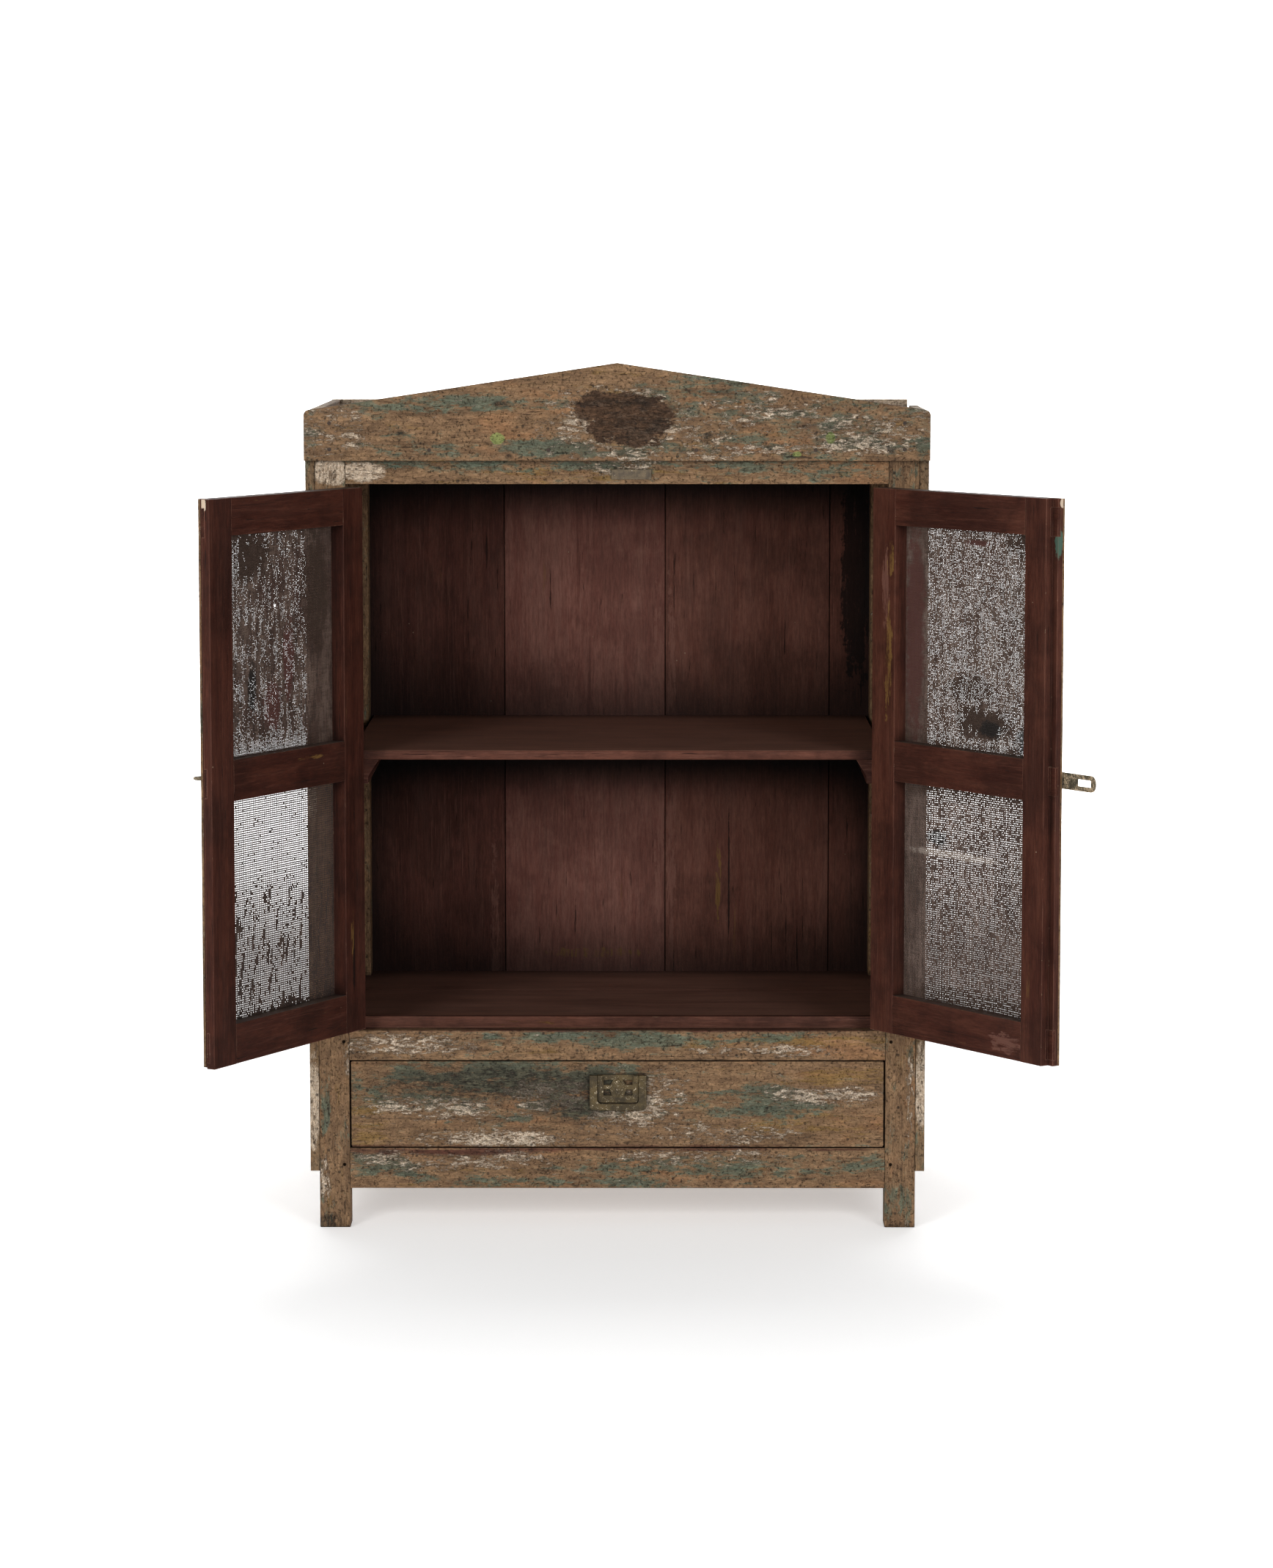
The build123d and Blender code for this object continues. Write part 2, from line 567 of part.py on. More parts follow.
# Doors: mortised frames with through tenons, rebated where they meet, each with
# two woven panels held in an outside recess by flat beads
stile_x = DOOR_W - MEETING_STILE
openings = (
    (BOTTOM_RAIL_DOOR[1], MID_RAIL_DOOR[0]),
    (MID_RAIL_DOOR[1], TOP_RAIL_DOOR[0]),
)
tenons = (TOP_TENON, MID_TENON, BOTTOM_TENON)
for side_name, door, turn, rebate_y in (
    ("left", LEFT_DOOR, 1, (0, REBATE_Y)),
    ("right", RIGHT_DOOR, -1, (REBATE_Y, DOOR_T)),
):
    along = Axis(door.origin, door.x_dir)
    door_front = Plane(origin=door.origin, x_dir=door.x_dir, z_dir=-door.y_dir)

    # Stiles, with the through mortises, the mesh recess and the hinge recesses
    for name, x0, x1 in (
        ("hinge_stile", 0, HINGE_STILE),
        ("meeting_stile", stile_x, DOOR_W),
    ):
        with BuildPart(door) as stile:
            board((turn * x0, 0, 0), (turn * x1, DOOR_T, DOOR_H))
            fillet(stile.edges().filter_by(Axis.Z), ARRIS)
            for z0, z1 in tenons:
                board(
                    (turn * x0, TENON_Y[0] - TENON_GAP, z0 - TENON_GAP),
                    (turn * x1, TENON_Y[1] + TENON_GAP, z1 + TENON_GAP),
                    Mode.SUBTRACT,
                )
            for z0, z1 in openings:
                board(
                    (turn * (HINGE_STILE - MESH_LAND), 0, z0 - MESH_LAND),
                    (turn * (stile_x + MESH_LAND), MESH_RECESS, z1 + MESH_LAND),
                    Mode.SUBTRACT,
                )
            if name == "hinge_stile":
                for centre in HINGE_Z:
                    z0 = centre - HINGE_H / 2
                    leaf_x = PIN_X - DOOR_EDGE_X - LEAF_GAP - LEAF_T
                    board(
                        (turn * -leaf_x, -1, z0),
                        (turn * -1, LEAF_W, z0 + HINGE_H),
                        Mode.SUBTRACT,
                    )
            else:
                board(
                    (turn * (DOOR_W - REBATE), rebate_y[0], 0),
                    (turn * DOOR_W, rebate_y[1], DOOR_H),
                    Mode.SUBTRACT,
                )
        stile.part.label = f"{side_name}_door_{name}"
        export_step(stile.part, f"parts/{side_name}_door_{name}.step")

    # Rails, whose tenons show at the door's edges
    for name, (z0, z1), (tenon_z0, tenon_z1) in (
        ("top_rail", TOP_RAIL_DOOR, TOP_TENON),
        ("mid_rail", MID_RAIL_DOOR, MID_TENON),
        ("bottom_rail", BOTTOM_RAIL_DOOR, BOTTOM_TENON),
    ):
        with BuildPart(door) as door_rail:
            board((turn * HINGE_STILE, 0, z0), (turn * stile_x, DOOR_T, z1))
            fillet(door_rail.edges().filter_by(along), ARRIS)
            board(
                (turn * 0.5, TENON_Y[0], tenon_z0),
                (turn * (DOOR_W - 0.5), TENON_Y[1], tenon_z1),
            )
            for opening_z0, opening_z1 in openings:
                board(
                    (turn * HINGE_STILE, 0, opening_z0 - MESH_LAND),
                    (turn * stile_x, MESH_RECESS, opening_z1 + MESH_LAND),
                    Mode.SUBTRACT,
                )
            board(
                (turn * (DOOR_W - REBATE - 0.5), rebate_y[0], 0),
                (turn * DOOR_W, rebate_y[1], DOOR_H),
                Mode.SUBTRACT,
            )
        door_rail.part.label = f"{side_name}_door_{name}"
        export_step(door_rail.part, f"parts/{side_name}_door_{name}.step")

    # Woven panels, as plates of the weave's thickness, at the bottom of the recess
    for name, (z0, z1) in zip(("lower_mesh", "upper_mesh"), openings):
        with BuildPart(door) as mesh:
            board(
                (
                    turn * (HINGE_STILE - MESH_LAND + 1),
                    MESH_RECESS - MESH_T,
                    z0 - MESH_LAND + 1,
                ),
                (turn * (stile_x + MESH_LAND - 1), MESH_RECESS, z1 + MESH_LAND - 1),
            )
        mesh.part.label = f"{side_name}_door_{name}"
        export_step(mesh.part, f"parts/{side_name}_door_{name}.step")

    # Beads round each woven panel: the uprights run through, the others butt
    with BuildPart(door) as mesh_beads:
        bead_y = (0.2, MESH_RECESS - MESH_T)
        for z0, z1 in openings:
            for x0, x1 in (
                (HINGE_STILE - MESH_LAND, HINGE_STILE),
                (stile_x, stile_x + MESH_LAND),
            ):
                board(
                    (turn * (x0 + 0.2), bead_y[0], z0 - MESH_LAND + 0.2),
                    (turn * (x1 - 0.2), bead_y[1], z1 + MESH_LAND - 0.2),
                )
            for low in (z0 - MESH_LAND, z1):
                board(
                    (turn * HINGE_STILE, bead_y[0], low + 0.2),
                    (turn * stile_x, bead_y[1], low + MESH_LAND - 0.2),
                )
    mesh_beads.part.label = f"{side_name}_door_beads"
    export_step(mesh_beads.part, f"parts/{side_name}_door_beads.step")

    # The door's half of its butt hinges: leaf and two running knuckles
    with BuildPart(door) as hinge_leaves:
        pin_x = PIN_X - DOOR_EDGE_X
        leaf_x = (turn * (LEAF_GAP - pin_x), turn * (LEAF_GAP + LEAF_T - pin_x))
        for centre in HINGE_Z:
            z = centre - HINGE_H / 2
            board((leaf_x[0], 0.1, z), (leaf_x[1], LEAF_W, z + HINGE_H))
            for knuckle in range(1, KNUCKLES, 2):
                z0 = z + knuckle * knuckle_pitch
                length = knuckle_pitch - KNUCKLE_GAP
                board((leaf_x[0], PIN_Y, z0), (leaf_x[1], 0.1, z0 + length))
                with Locations((turn * -pin_x, PIN_Y, z0 + length / 2)):
                    Cylinder(KNUCKLE_R, length)
                    Cylinder(PIN_R + PIN_FIT, length, mode=Mode.SUBTRACT)
    hinge_leaves.part.label = f"{side_name}_door_hinge_leaves"
    export_step(hinge_leaves.part, f"parts/{side_name}_door_hinge_leaves.step")

    # Screws of the hinge leaves, and of the staple plate or hasp plate
    with BuildPart() as door_screws:
        for centre in HINGE_Z:
            for y, rise in ((7, 9), (14, 24), (7, 40), (14, 55)):
                place = (
                    turn * (LEAF_GAP - pin_x),
                    y,
                    centre - HINGE_H / 2 + rise,
                )
                screw(door, place, turn * door.x_dir)
        if side_name == "left":
            for x in (-16, 16):
                place = (STAPLE_X + x, -STAPLE_PLATE[2], HASP_Z)
                screw(door, place, door.y_dir, 0.4)
        else:
            for x, z in ((344, -8), (344, 8), (360, -8), (360, 8)):
                screw(door, (turn * x, -STRAP_T, HASP_Z + z), door.y_dir, 0.4)
    door_screws.part.label = f"{side_name}_door_screws"
    export_step(door_screws.part, f"parts/{side_name}_door_screws.step")

    if side_name == "left":
        # Staple: a loop lying level on a small plate
        with BuildPart(door) as staple:
            board(
                (
                    STAPLE_X - STAPLE_PLATE[0] / 2,
                    -STAPLE_PLATE[2],
                    HASP_Z - STAPLE_PLATE[1] / 2,
                ),
                (STAPLE_X + STAPLE_PLATE[0] / 2, 0, HASP_Z + STAPLE_PLATE[1] / 2),
            )
            fillet(staple.edges().filter_by(Axis(door.origin, door.y_dir)), 3)
            with BuildLine(door.offset(HASP_Z)) as loop:
                FilletPolyline(
                    (STAPLE_X - STAPLE_SPREAD / 2, -1),
                    (STAPLE_X - STAPLE_SPREAD / 2, STAPLE_WIRE_R - STAPLE_OUT),
                    (STAPLE_X + STAPLE_SPREAD / 2, STAPLE_WIRE_R - STAPLE_OUT),
                    (STAPLE_X + STAPLE_SPREAD / 2, -1),
                    radius=STAPLE_SPREAD / 2 - 0.1,
                )
            with BuildSketch(Plane(origin=loop.line @ 0, z_dir=loop.line % 0)):
                Circle(STAPLE_WIRE_R)
            sweep()
        staple.part.label = "staple"
        export_step(staple.part, "parts/staple.step")
    else:
        # Hasp plate with two knuckles, its fixed pin, and the swinging strap
        hasp_knuckle = HASP_W / 3
        with BuildPart(door) as hasp_plate:
            board(
                (turn * HASP_PLATE_X[0], -STRAP_T, HASP_Z - HASP_PLATE_H / 2),
                (turn * HASP_PLATE_X[1], 0, HASP_Z + HASP_PLATE_H / 2),
            )
            fillet(hasp_plate.edges().filter_by(Axis(door.origin, door.y_dir)), 2)
            for step in (-1, 1):
                z = HASP_Z + step * (hasp_knuckle + 0.15)
                half = hasp_knuckle / 2 - 0.15
                board(
                    (turn * HASP_PLATE_X[1], -3.8, z - half),
                    (turn * HASP_PIN_X, -1.8, z + half),
                )
                board(
                    (turn * (HASP_PLATE_X[1] - 2), -3.8, z - half),
                    (turn * HASP_PLATE_X[1], -1.8, z + half),
                )
                with Locations((turn * HASP_PIN_X, HASP_PIN_Y, z)):
                    Cylinder(HASP_KNUCKLE_R, 2 * half)
                    Cylinder(HASP_PIN_R, 2 * half, mode=Mode.SUBTRACT)
        hasp_plate.part.label = "hasp_plate"
        export_step(hasp_plate.part, "parts/hasp_plate.step")

        with BuildPart(door) as hasp_pin:
            with Locations((turn * HASP_PIN_X, HASP_PIN_Y, HASP_Z)):
                Cylinder(HASP_PIN_R, HASP_W)
        hasp_pin.part.label = "hasp_pin"
        export_step(hasp_pin.part, "parts/hasp_pin.step")

        with BuildPart() as hasp_strap:
            strap_back = -HASP_PIN_Y - STRAP_T / 2
            with BuildSketch(door_front.offset(strap_back)) as strap_outline:
                with Locations(
                    (turn * (HASP_PIN_X + 3.4 + HASP_TIP_X) / 2, HASP_Z)
                ):
                    Rectangle(HASP_TIP_X - HASP_PIN_X - 3.4, HASP_W)
                fillet(
                    strap_outline.vertices().group_by(Axis.X)[0 if turn < 0 else -1],
                    HASP_W / 2 - 1.5,
                )
                with Locations((turn * (HASP_PIN_X + 1.8), HASP_Z)):
                    Rectangle(3.8, hasp_knuckle - 0.6)
                with Locations((turn * sum(HASP_SLOT_X) / 2, HASP_Z)):
                    RectangleRounded(
                        HASP_SLOT_X[1] - HASP_SLOT_X[0],
                        HASP_SLOT_H,
                        1.5,
                        mode=Mode.SUBTRACT,
                    )
            extrude(amount=STRAP_T)
            with BuildSketch(door.offset(HASP_Z - hasp_knuckle / 2 + 0.3)):
                with Locations((turn * HASP_PIN_X, HASP_PIN_Y)):
                    Circle(HASP_KNUCKLE_R)
            extrude(amount=hasp_knuckle - 0.6)
            with BuildSketch(door.offset(HASP_Z - hasp_knuckle / 2 + 0.3)):
                with Locations((turn * HASP_PIN_X, HASP_PIN_Y)):
                    Circle(HASP_PIN_R + PIN_FIT)
            extrude(amount=hasp_knuckle - 0.6, mode=Mode.SUBTRACT)
        hasp_strap.part.label = "hasp_strap"
        export_step(hasp_strap.part, "parts/hasp_strap.step")

# Drawer: a lapped front, grooved sides, a back and a thin bottom in the grooves
side_back_y = DRAWER_BACK_Y
with BuildPart(CARCASS) as drawer_front:
    board(
        (-DRAWER_HALF, 0, DRAWER_Z[0]),
        (DRAWER_HALF, DRAWER_FRONT_T, DRAWER_Z[1]),
    )
    fillet(drawer_front.edges().filter_by(Axis.Y), 2.5 * ARRIS)
    fillet(drawer_front.faces().sort_by(Axis.Y)[0].edges(), ARRIS)
    for side in (-1, 1):
        board(
            (side * (DRAWER_HALF - DRAWER_SIDE_T), DRAWER_LAP, DRAWER_Z[0]),
            (side * DRAWER_HALF, DRAWER_FRONT_T, DRAWER_Z[1]),
            Mode.SUBTRACT,
        )
    board(
        (
            -DRAWER_HALF + DRAWER_SIDE_T,
            DRAWER_FRONT_T - DRAWER_GROOVE,
            DRAWER_BOTTOM_Z[0],
        ),
        (
            DRAWER_HALF - DRAWER_SIDE_T,
            DRAWER_FRONT_T,
            DRAWER_BOTTOM_Z[1],
        ),
        Mode.SUBTRACT,
    )
drawer_front.part.label = "drawer_front"
export_step(drawer_front.part, "parts/drawer_front.step")

with BuildPart(CARCASS) as drawer_sides:
    for side in (-1, 1):
        board(
            (side * (DRAWER_HALF - DRAWER_SIDE_T), DRAWER_LAP, DRAWER_Z[0]),
            (side * DRAWER_HALF, side_back_y, DRAWER_SIDE_TOP),
        )
        board(
            (
                side * (DRAWER_HALF - DRAWER_SIDE_T),
                DRAWER_LAP,
                DRAWER_BOTTOM_Z[0],
            ),
            (
                side * (DRAWER_HALF - DRAWER_SIDE_T + DRAWER_GROOVE),
                side_back_y,
                DRAWER_BOTTOM_Z[1],
            ),
            Mode.SUBTRACT,
        )
drawer_sides.part.label = "drawer_sides"
export_step(drawer_sides.part, "parts/drawer_sides.step")

with BuildPart(CARCASS) as drawer_back:
    board(
        (
            -DRAWER_HALF + DRAWER_SIDE_T,
            side_back_y - DRAWER_SIDE_T,
            DRAWER_BOTTOM_Z[1],
        ),
        (DRAWER_HALF - DRAWER_SIDE_T, side_back_y, DRAWER_SIDE_TOP),
    )
drawer_back.part.label = "drawer_back"
export_step(drawer_back.part, "parts/drawer_back.step")

with BuildPart(CARCASS) as drawer_bottom:
    half = DRAWER_HALF - DRAWER_SIDE_T + DRAWER_GROOVE
    board(
        (-half, DRAWER_FRONT_T, DRAWER_BOTTOM_Z[0]),
        (half, side_back_y, DRAWER_BOTTOM_Z[1]),
    )
    inner_half = DRAWER_HALF - DRAWER_SIDE_T
    board(
        (-inner_half, DRAWER_FRONT_T - DRAWER_GROOVE, DRAWER_BOTTOM_Z[0]),
        (inner_half, DRAWER_FRONT_T, DRAWER_BOTTOM_Z[1]),
    )
drawer_bottom.part.label = "drawer_bottom"
export_step(drawer_bottom.part, "parts/drawer_bottom.step")

# Back plate of the drawer pull: a cast plate with four windows round a raised
# lozenge, and an ear at each upper corner for the pull's pins
plate_centre = (PULL_X, sum(PULL_PLATE_Z) / 2)
plate_size = (2 * PULL_PLATE_HALF, PULL_PLATE_Z[1] - PULL_PLATE_Z[0])
with BuildPart() as pull_plate:
    with BuildSketch(FRONT) as plate_outline:
        with Locations(plate_centre):
            Rectangle(*plate_size)
        fillet(plate_outline.vertices().group_by(Axis.Y)[0], 5)
        for side in (-1, 1):
            with BuildLine():
                Polyline(
                    (PULL_X + side * 20.5, 212.0),
                    (PULL_X + side * 6.5, 212.0),
                    (PULL_X + side * 10.5, 204.6),
                    (PULL_X + side * 20.5, 204.6),
                    close=True,
                )
            make_face(mode=Mode.SUBTRACT)
            with BuildLine():
                Polyline(
                    (PULL_X + side * 20.5, 198.4),
                    (PULL_X + side * 11.5, 198.4),
                    (PULL_X + side * 8.5, 189.6),
                    (PULL_X + side * 20.5, 189.6),
                    close=True,
                )
            make_face(mode=Mode.SUBTRACT)
    extrude(amount=PULL_PLATE_T)
    with BuildSketch(FRONT.offset(PULL_PLATE_T)):
        with BuildLine():
            Polyline(
                (PULL_X, 215.0),
                (PULL_X + 9.5, 201.5),
                (PULL_X, 187.0),
                (PULL_X - 9.5, 201.5),
                close=True,
            )
        make_face()
    extrude(amount=1.2, taper=20)
    for side in (-1, 1):
        with BuildSketch(FRONT):
            with Locations((PULL_X + side * (PULL_PLATE_HALF - 3.2), PULL_PIN_Z)):
                Rectangle(PULL_EAR - 0.1, 8.8)
        extrude(amount=-PULL_PIN_Y + 2.8)
        with Locations((CARCASS_X + PULL_X, CARCASS_Y + PULL_PIN_Y, PULL_PIN_Z)):
            Cylinder(
                PULL_PIN_R + PIN_FIT,
                2 * PULL_PLATE_HALF + 2,
                rotation=(0, 90, 0),
                mode=Mode.SUBTRACT,
            )
pull_plate.part.label = "pull_plate"
export_step(pull_plate.part, "parts/pull_plate.step")

# Swinging bail of the pull, a flat bar bent round the plate
with BuildPart() as drawer_pull:
    with BuildSketch(FRONT.offset(-PULL_PIN_Y - PULL_T / 2)) as bail_outline:
        with Locations((PULL_X, sum(PULL_Z) / 2)):
            Rectangle(2 * PULL_HALF, PULL_Z[1] - PULL_Z[0])
        fillet(bail_outline.vertices().group_by(Axis.Y)[0], PULL_ROUND)
        with BuildSketch(mode=Mode.SUBTRACT) as bail_inside:
            with Locations((PULL_X, PULL_Z[1] + 10)):
                Rectangle(
                    2 * (PULL_HALF - PULL_BAR), 2 * (PULL_Z[1] - PULL_Z[0] - 9.4 + 10)
                )
            fillet(bail_inside.vertices().group_by(Axis.Y)[0], 5.5)
    extrude(amount=PULL_T)
    fillet(
        drawer_pull.faces().sort_by(Axis.Y)[0].edges().filter_by(GeomType.LINE), 0.8
    )
    for side in (-1, 1):
        with BuildSketch(
            Plane(
                origin=(
                    CARCASS_X + PULL_X + side * (PULL_HALF - PULL_BAR),
                    CARCASS_Y + PULL_PIN_Y,
                    PULL_PIN_Z,
                ),
                z_dir=(-side, 0, 0),
            )
        ):
            Circle(PULL_PIN_R)
        extrude(amount=PULL_EAR - 1)
drawer_pull.part.label = "drawer_pull"
export_step(drawer_pull.part, "parts/drawer_pull.step")
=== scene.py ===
import math
import random

import bmesh
import bpy
from mathutils import Matrix, Vector, noise


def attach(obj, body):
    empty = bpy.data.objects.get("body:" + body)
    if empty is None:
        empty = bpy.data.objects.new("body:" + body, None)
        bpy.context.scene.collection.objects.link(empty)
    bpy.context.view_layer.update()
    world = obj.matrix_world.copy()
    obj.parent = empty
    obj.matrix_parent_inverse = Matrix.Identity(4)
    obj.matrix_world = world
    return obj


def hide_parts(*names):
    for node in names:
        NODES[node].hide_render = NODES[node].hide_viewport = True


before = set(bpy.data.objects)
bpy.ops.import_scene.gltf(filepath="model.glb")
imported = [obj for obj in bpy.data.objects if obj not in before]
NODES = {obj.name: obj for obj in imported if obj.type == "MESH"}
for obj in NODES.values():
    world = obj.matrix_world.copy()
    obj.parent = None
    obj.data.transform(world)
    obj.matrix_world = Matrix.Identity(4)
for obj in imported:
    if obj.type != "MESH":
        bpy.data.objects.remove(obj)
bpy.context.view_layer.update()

SCENE = bpy.context.scene

# The carcass front middle in the row frame, and the two door hinges, in metres.
FRONT = Vector((-0.035, -0.099, 0.0))
PIN = (0.3764, -0.0035)
DOORS = {
    "left": (FRONT + Vector((-PIN[0], PIN[1], 0)), math.radians(-118.4), 1),
    "right": (FRONT + Vector((PIN[0], PIN[1], 0)), math.radians(125.3), -1),
}
DOOR_EDGE = 0.3758
DOOR_BOTTOM = 0.2875


def mm(x, y, z):
    """Carcass coordinates in millimetres to the row frame in metres."""
    return FRONT + Vector((x, y, z)) / 1000


def door_matrix(side):
    """Door coordinates (hinge edge, outer face, bottom edge) to the row frame."""
    pin, turn, sign = DOORS[side]
    offset = Vector((sign * (PIN[0] - DOOR_EDGE), -PIN[1], DOOR_BOTTOM))
    return Matrix.Translation(pin) @ Matrix.Rotation(turn, 4, "Z") @ Matrix.Translation(offset)


def rgb(code):
    """A colour written as six hexadecimal digits, made linear."""
    parts = [int(code[i : i + 2], 16) / 255 for i in (0, 2, 4)]
    return tuple(c / 12.92 if c < 0.04045 else ((c + 0.055) / 1.055) ** 2.4 for c in parts)


# ---------------------------------------------------------------- node building

# Dot product of the rounded and the true normal, on a flat face and on an arris
FLAT_FACE_DOT = 0.9985
ARRIS_DOT = 0.93


class Paint:
    """A small writer of shader nodes: each method adds a node and returns its output."""

    def __init__(self, name):
        self.mat = bpy.data.materials.new(name)
        self.mat.use_nodes = True
        self.tree = self.mat.node_tree
        self.shader = self.tree.nodes["Principled BSDF"]
        self.base = self.tree.nodes.new("ShaderNodeTexCoord").outputs["Object"]

    def link(self, value, socket):
        if isinstance(value, bpy.types.NodeSocket):
            self.tree.links.new(value, socket)
        elif isinstance(value, (tuple, list)) and socket.type == "RGBA":
            socket.default_value = (*value[:3], 1.0)
        else:
            socket.default_value = value

    def add(self, kind, *values, out=0, **settings):
        node = self.tree.nodes.new(kind)
        for key, value in settings.items():
            setattr(node, key, value)
        for socket, value in values:
            self.link(value, node.inputs[socket])
        return node.outputs[out]

    def place(self, origin=(0, 0, 0), turn=0.0):
        """Object coordinates moved to an origin and turned about Z."""
        return self.add(
            "ShaderNodeMapping", ("Vector", self.base), ("Location", tuple(origin)),
            ("Rotation", (0, 0, turn)), vector_type="TEXTURE",
        )

    def stretch(self, vector, scale, shift=(0, 0, 0)):
        return self.add(
            "ShaderNodeMapping", ("Vector", vector), ("Scale", tuple(scale)),
            ("Location", tuple(shift)), vector_type="POINT",
        )

    def noise(self, vector, scale, detail, rough, warp=0.0):
        return self.add(
            "ShaderNodeTexNoise", ("Vector", vector), ("Scale", scale), ("Detail", detail),
            ("Roughness", rough), ("Distortion", warp),
        )

    def cells(self, vector, scale):
        return self.add("ShaderNodeTexVoronoi", ("Vector", vector), ("Scale", scale))

    def math(self, operation, a, b):
        return self.add("ShaderNodeMath", (0, a), (1, b), operation=operation)

    def plus(self, a, b):
        return self.math("ADD", a, b)

    def minus(self, a, b):
        return self.math("SUBTRACT", a, b)

    def times(self, a, b):
        return self.math("MULTIPLY", a, b)

    def step(self, value, low, high):
        """0 below low, 1 above high, smooth between. low may be above high."""
        node = self.tree.nodes.new("ShaderNodeMapRange")
        node.interpolation_type = "SMOOTHSTEP"
        self.link(value, node.inputs["Value"])
        node.inputs["From Min"].default_value = min(low, high)
        node.inputs["From Max"].default_value = max(low, high)
        node.inputs["To Min"].default_value = 0.0 if low < high else 1.0
        node.inputs["To Max"].default_value = 1.0 if low < high else 0.0
        return node.outputs["Result"]

    def mix(self, factor, a, b, blend="MIX"):
        node = self.tree.nodes.new("ShaderNodeMix")
        node.data_type = "RGBA"
        node.blend_type = blend
        self.link(factor, node.inputs[0])
        self.link(a, node.inputs[6])
        self.link(b, node.inputs[7])
        return node.outputs[2]

    def over(self, colour, mask, depth, tint):
        """A tint laid over a colour where the mask is, at most depth opaque."""
        return self.mix(self.times(mask, depth), colour, rgb(tint))

    def shaded(self, colour, tone, share):
        """A share of the colour multiplied by a tone."""
        return self.mix(share, colour, self.mix(1.0, colour, tone, "MULTIPLY"))

    def blob(self, centre, radii, ragged, scale, soft, vector=None):
        """1 inside a ragged ellipsoid about centre, 0 outside."""
        vector = vector or self.base
        away = self.add(
            "ShaderNodeVectorMath", (0, vector), (1, tuple(centre)), operation="SUBTRACT"
        )
        away = self.add(
            "ShaderNodeVectorMath", (0, away), (1, tuple(1 / r for r in radii)), operation="MULTIPLY"
        )
        far = self.add("ShaderNodeVectorMath", (0, away), out=1, operation="LENGTH")
        rough = self.noise(vector, scale, 7.0, 0.72)
        rough = self.times(self.minus(rough, 0.5), ragged * 3.0)
        return self.step(self.plus(far, rough), 1.0 + soft, 1.0 - soft)

    def edges(self, radius):
        """1 on arrises, 0 on flat faces."""
        soft = self.add("ShaderNodeBevel", ("Radius", radius), samples=6)
        hard = self.add("ShaderNodeNewGeometry", out=1)
        dot = self.add("ShaderNodeVectorMath", (0, soft), (1, hard), out=1, operation="DOT_PRODUCT")
        return self.step(dot, FLAT_FACE_DOT, ARRIS_DOT)

    def corner_shade(self, colour, distance, low, high, depth):
        """Darkens a colour where other pieces close it in, by an ambient occlusion node: painted shade in
        corners and recesses.
        """
        seen = self.add("ShaderNodeAmbientOcclusion", ("Distance", distance), out=1, samples=6)
        darkened = self.mix(1.0, colour, (depth, depth, depth), "MULTIPLY")
        return self.mix(self.step(seen, low, high), darkened, colour)

    def axis(self, vector, name):
        return self.add("ShaderNodeSeparateXYZ", ("Vector", vector), out="XYZ".index(name))

    def finish(self, colour, roughness, height, distance, strength, metallic=None):
        self.link(colour, self.shader.inputs["Base Color"])
        self.link(roughness, self.shader.inputs["Roughness"])
        bump = self.add(
            "ShaderNodeBump", ("Strength", strength), ("Distance", distance), ("Height", height)
        )
        self.link(bump, self.shader.inputs["Normal"])
        if metallic is not None:
            self.link(metallic, self.shader.inputs["Metallic"])
        return self.mat


def grain_scale(grain, along):
    """A stretch that draws a texture out along the grain."""
    return (along, 1, 1) if grain == "X" else (1, 1, along)


# ---------------------------------------------------------------- materials


